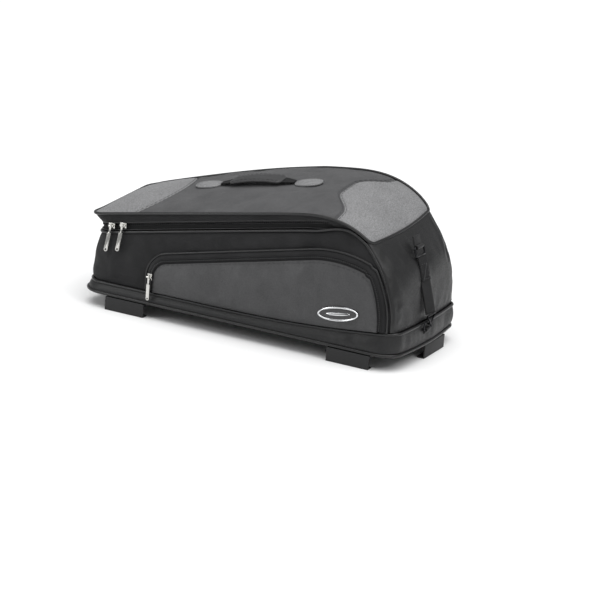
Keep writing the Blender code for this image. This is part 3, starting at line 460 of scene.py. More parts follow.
def sewnPiece(name, bm, look, body, replaced, thickness, smooth=0):
    # a panel that keeps the facing and the UV map its grid was made with
    return thicken(finishPiece(name, bm, look, body, replaced, 60, False), thickness, smooth)


clothSettings = {"quality": 5, "mass": 0.3, "tension_stiffness": 15.0, "compression_stiffness": 15.0,
                 "shear_stiffness": 5.0, "bending_stiffness": 0.5}
sewnBorder = {"held": 3.0, "free": 16}  # millimetres from the edge


def settle(bm, name, reach=4.0, slack=0.02, frames=14, held=None):
    # let the cloth buckle between its sewn edges: it is cut a little larger than the space it fills
    mesh = bpy.data.meshes.new(name + " sewn")
    bm.to_mesh(mesh)
    edge = kdtree.KDTree(len(bm.verts))
    for vert in bm.verts:
        if vert.is_boundary:
            edge.insert(vert.co, vert.index)
    edge.balance()
    obj = bpy.data.objects.new(name + " sewn", mesh)
    bpy.context.scene.collection.objects.link(obj)
    group = obj.vertex_groups.new(name="held")
    room = []
    for vert in bm.verts:
        far = edge.find(vert.co)[2] / mm
        fixed = far < sewnBorder["held"] or (held is not None and held(vert.co))
        group.add([vert.index], 1.0 if fixed else 0.0, "REPLACE")
        room.append(0.0 if fixed else reach * mm * ease(far / sewnBorder["free"]))
    step = obj.modifiers.new("Cloth", "CLOTH")
    for key, value in clothSettings.items():
        setattr(step.settings, key, value)
    step.settings.shrink_min = -slack
    step.settings.vertex_group_mass = "held"
    step.settings.effector_weights.gravity = 0.0
    step.collision_settings.use_collision = False
    step.point_cache.frame_start = 1
    step.point_cache.frame_end = frames
    for f in range(1, frames + 1):
        bpy.context.scene.frame_set(f)
    settled = obj.evaluated_get(bpy.context.evaluated_depsgraph_get()).to_mesh()
    most = 0.0
    bm.verts.ensure_lookup_table()
    for vert, after, cap in zip(bm.verts, settled.vertices, room):
        move = after.co - vert.co
        most = max(most, move.length)
        if cap > 1e-6 and move.length > 1e-9:
            vert.co += move * (cap * math.tanh(move.length / cap) / move.length)
    for _ in range(3):
        bmesh.ops.smooth_vert(bm, verts=[v for v, cap in zip(bm.verts, room) if cap > 0], factor=0.4,
                              use_axis_x=True, use_axis_y=True, use_axis_z=True)
    bpy.data.objects.remove(obj)
    bpy.data.meshes.remove(mesh)
    bpy.context.scene.frame_set(1)
    print("settled", name, "moved up to", round(most / mm, 1), "mm")
    return bm


def pipe(name, points, radius, look, body, replaced=(), closed=False, sides=12):
    # a round cord swept along points in metres, rolled up from one long strip
    way = Walk(points, closed)
    count = max(int(way.length / (radius * mm * 0.9)), 8)
    turns = []
    normal = Vector((0, 0, 1))
    for i in range(count + 1):
        share = i / count
        ahead = (way.at((share + 0.002) % 1 if closed else share + 0.002)
                 - way.at((share - 0.002) % 1 if closed else share - 0.002)).normalized()
        if i == 0:
            normal = Vector((0, 0, 1)) if abs(ahead.z) < 0.9 else Vector((1, 0, 0))
        if closed and i == count:
            turns.append(turns[0])
            break
        normal = (normal - ahead * normal.dot(ahead)).normalized()
        turns.append((way.at(share), normal.copy(), ahead.cross(normal)))
    bm = bmesh.new()
    bmesh.ops.create_grid(bm, x_segments=count, y_segments=sides, size=0.5)
    for vert in bm.verts:
        here, out, across = turns[round((vert.co.x + 0.5) * count)]
        a = 2 * math.pi * round((vert.co.y + 0.5) * sides) / sides
        vert.co = here + (out * math.cos(a) + across * math.sin(a)) * radius * mm
    bmesh.ops.remove_doubles(bm, verts=bm.verts, dist=1e-6)
    if not closed:
        bmesh.ops.holes_fill(bm, edges=[e for e in bm.edges if e.is_boundary], sides=sides)
    return finishPiece(name, bm, look, body, replaced, 60)


def beads(turns, shape, uSteps, vSteps):
    # one flattened bead at every turn
    bm = bmesh.new()
    bmesh.ops.create_uvsphere(bm, u_segments=uSteps, v_segments=vSteps, radius=0.5)
    each = len(bm.verts)
    while len(bm.verts) < each * len(turns):
        bmesh.ops.duplicate(bm, geom=bm.verts[:] + bm.edges[:] + bm.faces[:])
    verts = bm.verts[:]
    bmesh.ops.delete(bm, geom=verts[each * len(turns):], context="VERTS")
    for i, turn in enumerate(turns):
        whole = turn @ shape
        for vert in verts[i * each:(i + 1) * each]:
            vert.co = whole @ vert.co
    return bm


def stitches(name, rows, look, body, long=2.6, gap=1.2, thick=0.55):
    # rows of thread: each row is a list of (point, outward) in metres
    turns = []
    for row in rows:
        way = Walk([p for p, _ in row])
        count = int(way.length / ((long + gap) * mm))
        for i in range(count):
            share = (i + 0.5) / count
            ahead = way.heading(share)
            index = share * (len(row) - 1)
            out = row[int(index)][1].lerp(row[min(int(index) + 1, len(row) - 1)][1], index % 1).normalized()
            side = out.cross(ahead).normalized()
            turn = Matrix((ahead, side, out)).transposed().to_4x4()
            turn.translation = way.at(share) + out * (thick * 0.3 * mm)
            turns.append(turn)
    bm = beads(turns, Matrix.Diagonal((long * mm, thick * mm * 1.25, thick * mm, 1)), 6, 5)
    return finishPiece(name, bm, look, body)


def seamRow(place, pairs, outward, lift=0.25):
    # points along a surface for a row of stitches, with the surface's own facing
    reachU, reachV = 0.004, 0.01
    row = []
    for u, v in pairs:
        here = place(u, v)
        a = place(min(u + reachU, 1), v) - place(max(u - reachU, 0), v)
        b = place(u, min(v + reachV, 1)) - place(u, max(v - reachV, 0))
        facing = a.cross(b).normalized()
        if facing.dot(outward) < 0:
            facing = -facing
        row.append((here + facing * lift * mm, facing))
    return row


def teeth(name, way, out, spacing, size, look, body, replaced=()):
    # zip coil: one small rounded bead for each turn of the coil
    turns = []
    count = int(way.length / (spacing * mm))
    for i in range(count):
        share = (i + 0.5) / count
        ahead = way.heading(share)
        facing = out(share)
        up = facing.cross(ahead).normalized()
        turn = Matrix((ahead, facing, up)).transposed().to_4x4()
        turn.translation = way.at(share)
        turns.append(turn)
    bm = beads(turns, Matrix.Diagonal((size[0] * mm, size[1] * mm, size[2] * mm, 1)), 6, 4)
    return finishPiece(name, bm, look, body, replaced)


def stepped(bm, face, moves):
    # build up from a face: each move insets it and lifts it, and no inset at all raises a straight wall
    for grow, rise in moves:
        if grow == 0:
            face = bmesh.ops.extrude_discrete_faces(bm, faces=[face])["faces"][0]
        else:
            bmesh.ops.inset_region(bm, faces=[face], thickness=grow)
        bmesh.ops.translate(bm, vec=(0, 0, rise), verts=face.verts)


def refined(name, node, look, body, width=0.3, segments=2, angle=40):
    # the part's own solid with its edges eased
    bm = bmesh.new()
    bm.from_mesh(nodes[node].data)
    for layer in list(bm.loops.layers.uv):
        bm.loops.layers.uv.remove(layer)
    bmesh.ops.remove_doubles(bm, verts=bm.verts, dist=1e-6)
    bmesh.ops.dissolve_limit(bm, angle_limit=math.radians(2), verts=bm.verts, edges=bm.edges)
    sharp = [e for e in bm.edges if len(e.link_faces) == 2 and e.calc_face_angle(0) > math.radians(angle)]
    bmesh.ops.bevel(bm, geom=sharp, offset=width * mm, offset_type="OFFSET", segments=segments, profile=0.5,
                    affect="EDGES", material=-1, clamp_overlap=True)
    return finishPiece(name, bm, look, body, [node], 35)


def wrinkle(point, size, amount, seed=0.0):
    # a smooth signed ripple, amount in millimetres over folds about size millimetres wide
    return amount * noise.fractal(point * (1000 / size) + Vector((seed, seed * 1.7, seed * 0.3)), 0.9, 2.1, 3)


# base: pad, board, skirt and its piping, clips

# outlines give half width, rear, front, rear and front corner radius, rear and front bow
skirt = {"thickness": 2.4, "bulge": 1.6, "foldDepth": 3.4, "columns": 320, "rows": 9,
         "foot": (110, -252, 247, 36, 30, 0, 5), "top": (104.2, -247.5, 246, 32, 18, 1, 3.5),
         "footPiping": (110.6, -252.6, 247.6, 36.6, 30.6, 0, 5), "footRadius": 2.3, "topRadius": 2.1}
skirtLow = Walk(roundedOutline(*skirt["foot"]), True)
skirtHigh = Walk(roundedOutline(*skirt["top"]), True)


def skirtSpot(share, v):
    a, b = skirtLow.at(share % 1.0), skirtHigh.at(share % 1.0)
    x, y = a.x + v * (b.x - a.x), a.y + v * (b.y - a.y)
    foot, top = 4.0, bodyFoot(b.x) - 0.5
    out = Vector((x + 5, y)).normalized() if abs(x) > 225 else Vector((0, math.copysign(1, y)))
    swell = skirt["bulge"] * math.sin(math.pi * v)
    # the deep front corner gathers into soft upright folds
    corner = ease((x - 120) / 60) * math.sin(math.pi * v) ** 0.7
    swell += corner * wrinkle(Vector((x, y, 0)) * mm, 26, skirt["foldDepth"], 4)
    swell += math.sin(math.pi * v) * wrinkle(Vector((x, y, v * 20)) * mm, 60, 0.8, 9)
    return spot(x + out.x * swell, y + out.y * swell, foot + v * (top - foot))


bm = clothGrid(skirt["columns"], skirt["rows"], skirtSpot, 1.42, 0.03, outwardFrom(0, 0, 0.03))
piece = sewnPiece("base_skirt_vinyl", bm, "vinylDark", "bag", ["base_skirt"],
                  skirt["thickness"], 1)

low = [spot(x, y, 2.7) for x, y in roundedOutline(*skirt["footPiping"])]
pipe("skirt_piping_foot", low, skirt["footRadius"], "piping", "bag", ["skirt_piping_lower"],
     True)
high = [spot(x, y, bodyFoot(x)) for x, y in roundedOutline(*skirt["top"])]
pipe("skirt_piping_top", high, skirt["topRadius"], "piping", "bag", ["skirt_piping_upper"],
     True)
for node, look, slotName in (("base_pad", "rubber", "rubber_pad"), ("base_board", "board", "stiffener_board"),
                             ("floor_liner", "lining", "lining_cloth")):
    nodes[node].data.materials.clear()
    nodes[node].data.materials.append(looks[look])
for side in ("outboard_rear", "outboard_front", "inboard_rear", "inboard_front", "front", "rear"):
    refined("clip_" + side, "hook_" + side, "rubber", "bag", 0.8, 3)
print("base made")


# body: one nylon wall from the front seam round the rear and back to the front seam

wall = {"columns": 260, "rows": 30, "thickness": 3.2, "sideBulge": 1.5, "rearBulge": 9.0, "foldDepth": 2.4,
        "sideLength": 440.0, "footEnd": 236.2, "topEnd": 172, "pipingRadius": 2.0}
rearLow = Walk([(x, y, 0) for x, y in rearLoop(102.5, -245, 30, bag["rearX"], 2, 4)])
rearHigh = Walk([(x, y, 0) for x, y in rearLoop(97, -240, 30, bag["rearX"], 2, 4)])
wallLength = 2 * wall["sideLength"] + rearLow.length
sideShare = wall["sideLength"] / wallLength


def sideSpot(u, v, sign, lift=0.0):
    foot = bag["rearX"] + u * (wall["footEnd"] - bag["rearX"])
    top = bag["rearX"] + u * (wall["topEnd"] - bag["rearX"])
    low = bodyFoot(foot) + 0.6
    high = wallTop(top) - 0.6 - 3.0 * ease((top - 140) / 30)
    z = low + v * (high - low)
    x = foot + v * (top - foot)
    x += u ** 3 * (seamX(z) - 0.8 - wall["footEnd"] - v * (wall["topEnd"] - wall["footEnd"]))
    return spot(x, sign * (wallN(x, z) + lift), z)


def rearSpot(t, v, lift=0.0):
    a, b = rearLow.at(t), rearHigh.at(t)
    x, y = a.x + v * (b.x - a.x), a.y + v * (b.y - a.y)
    heading = rearLow.heading(clamp(t, 0.005, 0.995))
    out = Vector((heading.y, -heading.x))
    if out.dot(Vector((x + 180, y))) < 0:
        out = -out
    # the cloth hangs fullest low down, so the zip pulls swing clear of it
    full = (wall["rearBulge"] - wall["sideBulge"]) * math.sin(math.pi * clamp(t)) ** 1.2
    swell = wall["sideBulge"] * math.sin(math.pi * v) + full * math.sin(math.pi * v ** 0.62) + lift
    low, high = bodyFoot(a.x) + 0.6, wallTop(b.x) - 0.6
    return spot(x + out.x * swell, y + out.y * swell, low + v * (high - low))


def wallSpot(u, v, lift=0.0):
    if u < sideShare:
        return sideSpot(1 - u / sideShare, v, -1, lift)
    if u > 1 - sideShare:
        return sideSpot((u - 1 + sideShare) / sideShare, v, 1, lift)
    return rearSpot((u - sideShare) / (1 - 2 * sideShare), v, lift)


def wallCloth(u, v):
    edge = min(v, 1 - v) * 115
    here = wallSpot(u, v)
    lift = -1.4 * math.exp(-edge / 2.5)
    inside = ease(edge / 18)
    lift += inside * wrinkle(Vector((here.x, here.y, here.z * 2.2)), 70, wall["foldDepth"], 2)
    lift += inside * wrinkle(Vector((here.x * 1.6, here.y * 1.6, here.z)), 24, 0.5, 7)
    return wallSpot(u, v, lift)


def underPocket(co):
    x, z = co.x / mm - bag["shiftX"], co.z / mm - bag["baseZ"]
    return co.y < -0.09 and x > -150 and z < 0.22 * x + 104


bm = clothGrid(wall["columns"], wall["rows"], wallCloth, wallLength * mm, 0.118, outwardFrom(0, 0, 0.09))
bm = settle(bm, "wall cloth", 4.5, 0.02, 14, underPocket)
piece = sewnPiece("body_wall_nylon", bm, "nylon", "bag",
                  ["outboard_panel", "rear_end_panel", "inboard_panel"],
                  wall["thickness"], 1)


frontEnd = {"columns": 90, "rows": 44, "thickness": 3.2, "foldDepth": 2.2}


def frontSpot(u, v, lift=0.0):
    a = math.pi / 2 * (-1 + 2 * u)
    side = 100 * math.sin(a)
    top = min(lidTop(lidFrontEdge(side), side), 151.0) - 1.4
    low = 33.4
    z = low + v * (top - low)
    half = wallN(min(seamX(z), 220), z) - 0.3
    reach = max(math.cos(a), 0.0) ** 0.7
    edge = seamX(z) + 0.6
    x = edge + (frontX(z) - edge) * reach + lift * reach
    y = half * math.sin(a) * (1 + lift / 100 * (1 - reach))
    tuck = ease((v - 0.72) / 0.28)
    x += tuck * (lidFrontEdge(side) + 0.6 - x)
    y += tuck * (side * 0.985 - y)
    z += tuck * (lidTop(lidFrontEdge(side), side) - 0.6 - z)
    return spot(x, y, z)


def frontCloth(u, v):
    here = frontSpot(u, v)
    edge = min(v, 1 - v) * 118
    lift = -1.4 * math.exp(-edge / 2.5) + ease(edge / 16) * wrinkle(here, 55, frontEnd["foldDepth"], 12)
    return frontSpot(u, v, lift)


bm = clothGrid(frontEnd["columns"], frontEnd["rows"], frontCloth, 0.24, 0.118, outwardFrom(0.15, 0, 0.09))
rows = [seamRow(frontCloth, [(0.04 + 0.92 * i / 80, v) for i in range(81)], outward)
        for v, outward in ((0.945, Vector((1, 0, 0.3))), (0.04, Vector((1, 0, 0))))]
stitches("front_end_stitches", rows, "thread", "bag", 2.8, 1.3, 0.6)
bm = settle(bm, "front end cloth", 2.4, 0.015)
piece = sewnPiece("front_end_vinyl", bm, "vinylDark", "bag", ["front_end_panel"],
                  frontEnd["thickness"], 1)


def sidePiping(sign):
    line = [(-206 + i * 374 / 40, wallTop(-206 + i * 374 / 40)) for i in range(41)]
    line += [(174, 155.8), (180, 152.2)]
    line += [(seamX(148.0 - i * 112 / 24), 148.0 - i * 112 / 24) for i in range(25)]
    found = []
    for x, z in line:
        proud = 0.8 * ease((x - 60) / 60) * ease((z - 140) / 8)
        found.append(spot(x, sign * (wallN(x, z) - 0.2 + proud), z))
    return found


rear = [spot(x, y, wallTop(x)) for x, y in rearLoop(97.2, -240.4, 30, bag["rearX"], 2, 2)]
line = sidePiping(-1)[::-1] + rear[1:-1] + sidePiping(1)
pipe("wall_piping", line, wall["pipingRadius"], "piping", "bag",
     ["outboard_piping", "inboard_piping", "rear_piping"])
print("body made")


# main zip: two tapes and the coil between them

zipper = {"pitch": 1.6, "tapeThickness": 0.9, "end": 138, "half": 93.3, "bindingRadius": 0.8}


def zipLoop(n):
    off = n - zipper["half"]
    return rearLoop(n, -240 - off, 30 + off, zipper["end"], 1.5, 70)


def zipWalk(n, lift):
    return Walk([spot(x, y, zipLine(x) + lift) for x, y in zipLoop(n)])


def zipOut(way):
    def facing(share):
        ahead = way.heading(clamp(share, 0.002, 0.998))
        return Vector((ahead.y, -ahead.x, 0)).normalized()
    return facing


def zipBand(n, low, high):
    flat = Walk([(x, y, 0) for x, y in zipLoop(n)])

    def place(u, v):
        p = flat.at(u)
        bottom, top = low(p.x), high(p.x)
        return spot(p.x, p.y, zipLine(p.x) + bottom + v * (top - bottom))
    return place, flat.length * mm


for name, node, body, low, high in (
        ("zip_tape_lower", "main_tape_lower", "bag", lambda x: -9.6, lambda x: -0.3),
        ("zip_tape_upper", "main_tape_upper", "lid", lambda x: 0.3,
         lambda x: max(min(8.6, lidEdge(x) - zipLine(x) - 4.0), 1.2))):
    place, length = zipBand(93.0, low, high)
    bm = clothGrid(300, 5, place, length, 0.009, outwardFrom(0, 0, 0.15))
    sewnPiece(name, bm, "tape", body, [node], zipper["tapeThickness"])
for name, node, body, lift in (("zip_coil_lower", "main_chain_lower", "bag", -1.0),
                               ("zip_coil_upper", "main_chain_upper", "lid", 1.0)):
    way = zipWalk(93.8, lift)
    teeth(name, way, zipOut(way), zipper["pitch"], (1.1, 1.9, 1.8), "coil", body, [node])
# a bound edge on each tape, which shows as a fine line above and below the coil
for name, body, lift, n in (("zip_binding_lower", "bag", -7.4, 94.6),
                            ("zip_binding_upper", "lid", 3.4, 95.2)):
    pipe(name, zipWalk(n, lift).points, zipper["bindingRadius"], "piping", body)
print("main zip made")


# lid: centre panel between two vinyl inserts, rim, piping and lining

lid = {"thickness": 2.4, "half": 97.4, "rearSeam": (-146, -26, 2.0), "frontSeam": (108, 30, 20, 56),
       "seamDip": 1.5, "rimThickness": 1.6, "pipingRadius": 2.1, "stitchInset": 3.0}


def rearSeam(y):
    base, drop, power = lid["rearSeam"]
    return base + drop * (abs(y) / 91) ** power


def frontSeam(y):
    base, reach, start, width = lid["frontSeam"]
    return base + reach * ease((abs(y) - start) / width)


def flatUnderHandle(x, y):
    return ease((40 - abs(y)) / 16) * ease((125 - abs(x + 29)) / 20)


def underHandle(co):
    return flatUnderHandle(co.x / mm - bag["shiftX"], co.y / mm - bag["shiftY"]) > 0.5


def lidCloth(start, stop, seamAtStart, seamAtStop, sag, seed):
    def place(u, v):
        y = (-1 + 2 * v) * lid["half"]
        x0, x1 = start(y), stop(y)
        x = x0 + u * (x1 - x0)
        edge = 999.0
        if seamAtStart:
            edge = min(edge, x - x0)
        if seamAtStop:
            edge = min(edge, x1 - x)
        rimEdge = min(lid["half"] - abs(y), x - lidRearEdge(y), lidFrontEdge(y) - x)
        z = lidTop(x, y) - lid["seamDip"] * math.exp(-edge / 2.2) - 1.2 * math.exp(-max(rimEdge, 0) / 3.0)
        inside = ease(min(edge, rimEdge) / 14) * (1 - flatUnderHandle(x, y))
        z += inside * wrinkle(Vector((x, y, 0)) * mm, 60, sag, seed)
        z += inside * wrinkle(Vector((x * 0.5, y, 0)) * mm, 22, sag * 0.2, seed + 5)
        return spot(x, y, z)
    return place


# name, node, look, slot, start, stop, seam at start, seam at stop, fold depth, seed, columns, length
lidPieces = (("lid_insert_rear", "lid_rear_insert", "greyVinylAndPaintedSheen", "grey_vinyl",
              lambda y: lidRearEdge(y, 1.0), rearSeam, False, True, 0.9, 21, 54, 0.09),
             ("lid_centre_nylon", "lid_centre_panel", "lidNylonPaintedSheen", "ballistic_nylon",
              rearSeam, frontSeam, True, True, 1.9, 31, 110, 0.26),
             ("lid_insert_front", "lid_front_insert", "greyVinylAndPaintedSheen", "grey_vinyl",
              frontSeam, lambda y: lidFrontEdge(y, 1.0), True, False, 0.9, 41, 54, 0.09))
for name, node, look, slotName, start, stop, atStart, atStop, sag, seed, columns, length in lidPieces:
    place = lidCloth(start, stop, atStart, atStop, sag, seed)
    bm = clothGrid(columns, 90, place, length, 0.195, toward(0, 0, 1))
    rows = []
    for seamed, atFarEnd in ((atStart, False), (atStop, True)):
        if not seamed:
            continue
        pairs = []
        for i in range(121):
            v = 0.02 + 0.96 * i / 120
            y = (-1 + 2 * v) * lid["half"]
            share = lid["stitchInset"] / abs(stop(y) - start(y))
            pairs.append((1 - share if atFarEnd else share, v))
        rows.append(seamRow(place, pairs, Vector((0, 0, 1)), 0.25 if node == "lid_centre_panel" else 0.1))
    stitches(name + "_stitches", rows, "thread", "lid", 2.8, 1.3, 0.6)
    if node == "lid_centre_panel":
        bm = settle(bm, "lid cloth", 2.0, 0.01, 14, underHandle)
    piece = sewnPiece(name, bm, look, "lid", [node], lid["thickness"], 1)

rimLow = Walk([(x, y, 0) for x, y in rearLoop(94.2, -240.9, 30.9, 186, 1.5)])
rimHigh = Walk([(x, y, 0) for x, y in rearLoop(98.0, bag["lidRear"], 22, 186, 0)])


def rimSpot(u, v):
    a, b = rimLow.at(u), rimHigh.at(u)
    x, y = a.x + v * (b.x - a.x), a.y + v * (b.y - a.y)
    low, high = zipLine(a.x) + 1.6, lidEdge(b.x) - 1.0
    # past the end of the zip the rim closes down onto the wall
    low += ease((a.x - 122) / 22) * (wallTop(a.x) + 0.6 - low)
    low = min(low, high - 1.5)
    out = Vector((x + 170, y)).normalized() if x < -190 else Vector((0, math.copysign(1, y)))
    swell = 0.7 * math.sin(math.pi * v)
    swell += 0.4 * math.sin(math.pi * v) * wrinkle(Vector((x, y, 0)) * mm, 40, 1.0, 3)
    return spot(x + out.x * swell, y + out.y * swell, low + v * (high - low))


bm = clothGrid(300, 8, rimSpot, rimHigh.length * mm, 0.014, outwardFrom(0, 0, 0.15))
piece = sewnPiece("lid_rim_nylon", bm, "nylon", "lid", ["lid_rim"], lid["rimThickness"], 1)

edge = [(x, y, lidEdge(x)) for x, y in rearLoop(98.2, bag["lidRear"], 22, 184, 0)]
across = [97.6, 94.5, 90.5, 85, 78, 70, 58, 46, 34, 22, 11, 0]
for y in across + [-y for y in across[-2::-1]]:
    x = lidFrontEdge(y)
    edge.append((x, y, lidTop(x, y)))
pipe("lid_edge_piping", [spot(*p) for p in edge], lid["pipingRadius"], "piping", "lid", ["lid_piping"],
     True)

inside = {"liningHalf": 88.0, "liningRear": -232, "liningLength": 408, "netHalf": 61.0, "netRear": -170.0,
          "netFront": 60.0, "thickness": 0.6, "bindingRadius": 1.5}


def liningSpot(u, v):
    x, y = inside["liningRear"] + u * inside["liningLength"], (-1 + 2 * v) * inside["liningHalf"]
    return spot(x, y, lidTop(x, y) - 5.0 - 0.5 * noise.noise(Vector((x, y, 0)) * 0.03))


def netSpot(u, v):
    x, y = inside["netRear"] + u * (inside["netFront"] - inside["netRear"]), (-1 + 2 * v) * inside["netHalf"]
    droop = 1.6 * math.sin(math.pi * u) * math.sin(math.pi * v)
    return spot(x, y, lidTop(x, y) - 8.6 - droop)


bm = clothGrid(80, 40, liningSpot, 0.408, 0.176, toward(0, 0, -1))
piece = sewnPiece("lid_lining_cloth", bm, "packCloth", "lid", ["lid_lining"],
                  inside["thickness"])
bm = clothGrid(50, 30, netSpot, 0.23, 0.122, toward(0, 0, -1))
net = sewnPiece("lid_net_pocket", bm, "net", "lid", ["lid_mesh_pocket"], inside["thickness"])
border = [netSpot(i / 40, 0) for i in range(40)] + [netSpot(1, i / 20) for i in range(20)]
border += [netSpot(1 - i / 40, 1) for i in range(40)] + [netSpot(0, 1 - i / 20) for i in range(20)]
binding = pipe("lid_net_binding", border, inside["bindingRadius"], "webbingCord", "lid", closed=True)

# a strip of cloth behind the front seam
fold = {"deep": 11.0, "behind": 4.4}


def foldSpot(u, v):
    y = (-1 + 2 * u) * 90
    x = lidFrontEdge(y) - fold["behind"]
    return spot(x, y, lidTop(lidFrontEdge(y), y) - 2.0 - fold["deep"] * (1 - v))


bm = clothGrid(60, 12, foldSpot, 0.18, 0.012, toward(1, 0, 0))
piece = finishPiece("lid_fold_cloth", bm, "nylon", None, [], 60)
middle = foldSpot(0.5, 0.5)
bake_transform(piece)
print("lid made")


# carry handle: webbing under a padded sleeve, held by two stitched caps

handle = {"rearX": -107.0, "frontX": 48.5, "lift": 3.9, "rise": 6.0, "capLength": 42.0, "capWidth": 27.0,
          "capRaise": 0.9, "webEnd": 5, "webFlare": 4.3, "webThickness": 2.0, "gripHalf": 42.0,
          "gripWidth": 14.0, "gripThick": 3.2, "gripSections": 36}


def handlePlace():
    a, b = (warp(x, 0, lidTop(x, 0)) for x in (handle["rearX"], handle["frontX"]))
    middle, along = (a + b) / 2, (b - a).normalized()
    across = warp(middle.x, 20, lidTop(middle.x, 20)) - warp(middle.x, -20, lidTop(middle.x, -20))
    up = along.cross(across).normalized()
    turn = Matrix((along, up.cross(along), up)).transposed().to_4x4()
    turn.translation = (middle + Vector((bag["shiftX"], bag["shiftY"], bag["baseZ"]))) * mm
    return turn, (b - a).length / 2


handleTurn, handleReach = handlePlace()
handleUp = handleTurn.to_3x3() @ Vector((0, 0, 1))
webReach = handleReach - handle["capLength"] / 2
# each pair insets and lifts the patch: a raised border, a stitched groove and a low padded middle
capSteps = ((0, 1.6), (1.2, 0.9), (1.4, -0.1), (1.0, -0.45), (1.0, 0.45), (2.4, 0.9), (3.5, 0.35))


def handleArch(s):
    return handle["lift"] + handle["rise"] * (1 - clamp(abs(s)) ** 2) ** 1.3


def capOutline(scale, steps=48):
    found = []
    for i in range(steps):
        a = 2 * math.pi * i / steps
        x = math.copysign(abs(math.cos(a)) ** 0.85, math.cos(a))
        y = math.copysign(abs(math.sin(a)) ** 0.85, math.sin(a))
        found.append((handle["capLength"] / 2 * x * scale, handle["capWidth"] / 2 * y * scale))
    return found


for end, sign in (("rear", -1), ("front", 1)):
    bm = bmesh.new()
    ring = bmesh.ops.create_circle(bm, segments=48, radius=1.0, cap_ends=True)["verts"]
    for vert, (x, y) in zip(ring, capOutline(1.0)):
        vert.co = Vector((x, y, 0.2))
    stepped(bm, bm.faces[:][0], capSteps)
    for vert in bm.verts:
        vert.co = Vector((vert.co.x + sign * handleReach, vert.co.y, vert.co.z + handle["capRaise"])) * mm
    bmesh.ops.transform(bm, matrix=handleTurn, verts=bm.verts)
    piece = finishPiece("handle_cap_patch_" + end, bm, "greyVinylAndPaintedSheen", "lid", ["handle_cap_" + end])
    row = []
    for x, y in capOutline(0.86, 60) + capOutline(0.86, 60)[:1]:
        row.append((handleTurn @ (Vector((x + sign * handleReach, y, 3.15)) * mm), handleUp))
    stitches("cap_stitches_" + end, [row], "thread", "lid", 2.2, 0.9, 0.5)


def webSpot(u, v):
    x = (-1 + 2 * u) * (webReach - 0.2)
    s = x / webReach
    half = handle["webEnd"] + handle["webFlare"] * min(1.0, (1 - abs(s)) / 0.25)
    return handleTurn @ (Vector((x, (-1 + 2 * v) * half, handleArch(s) + 1.0)) * mm)


bm = clothGrid(80, 12, webSpot, 0.118, 0.019, toward(*handleUp))
piece = sewnPiece("handle_webbing", bm, "webbing", "handle", ["handle_strap"],
                  handle["webThickness"])
selvedge = piece.modifiers.new("Bevel", "BEVEL")
selvedge.width = 0.5 * mm
selvedge.segments = 2
selvedge.limit_method = "ANGLE"

bm = bmesh.new()
ring = bmesh.ops.create_circle(bm, segments=40, radius=1.0)["verts"]
loopEdges = list({e for v in ring for e in v.link_edges})
sections = []
for i in range(handle["gripSections"] + 1):
    x = (-1 + 2 * i / handle["gripSections"]) * handle["gripHalf"]
    s = x / webReach
    endRound = 0.6 + 0.4 * ease((handle["gripHalf"] - abs(x)) / 5)
    grown = bmesh.ops.duplicate(bm, geom=ring + loopEdges)["geom"]
    verts = [g for g in grown if isinstance(g, bmesh.types.BMVert)]
    for vert in verts:
        c, n = vert.co.x, vert.co.y
        width = handle["gripWidth"] - 0.5 + 0.5 * noise.noise(Vector((x * 0.08, 3, 0)))
        flat = math.copysign(abs(n) ** 0.75, n) * handle["gripThick"]
        side = math.copysign(abs(c) ** 0.8, c) * width
        crease = 0.35 * noise.noise(Vector((x * 0.16, side * 0.1, 8))) if n > 0 else 0
        vert.co = Vector((x, side * endRound, handleArch(s) + flat * endRound + crease)) * mm
    sections.append([g for g in grown if isinstance(g, bmesh.types.BMEdge)])
bmesh.ops.delete(bm, geom=ring, context="VERTS")
for a, b in zip(sections, sections[1:]):
    bmesh.ops.bridge_loops(bm, edges=a + b)
for edges in (sections[0], sections[-1]):
    bmesh.ops.contextual_create(bm, geom=edges)
bmesh.ops.transform(bm, matrix=handleTurn, verts=bm.verts)
piece = finishPiece("handle_grip_sleeve", bm, "gripVinylPaintedSheen", "handle", ["handle_grip"], 60)
rows = []
for side in (-1, 1):
    row = []
    for i in range(50):
        x = (-1 + 2 * i / 49) * (handle["gripHalf"] - 3)
        row.append((handleTurn @ (Vector((x, side * 10.8, handleArch(x / webReach) + 3.0)) * mm),
                    handleTurn.to_3x3() @ Vector((0, side * 0.3, 1))))
    rows.append(row)
stitches("grip_stitches", rows, "thread", "handle", 2.4, 1.1, 0.5)
print("handle made")


# outboard pocket: gusset, curved zip, padded vinyl front

pocket = {"arcX": -108.0, "arcZ": 42.5, "arcR": 27.0, "slope": 0.22, "pad": 6.0, "foldDepth": 1.2,
          "thickness": 1.8, "gussetThickness": 0.9, "tapeThickness": 0.8, "pipingRadius": 1.6}


def pocketTop(x):
    arcEnd = math.atan(pocket["slope"])
    x0 = pocket["arcX"] - pocket["arcR"] * math.sin(arcEnd)
    z0 = pocket["arcZ"] + pocket["arcR"] * math.cos(arcEnd)
    return z0 + pocket["slope"] * (x - x0) - 0.0032 * max(x - 110, 0) ** 2


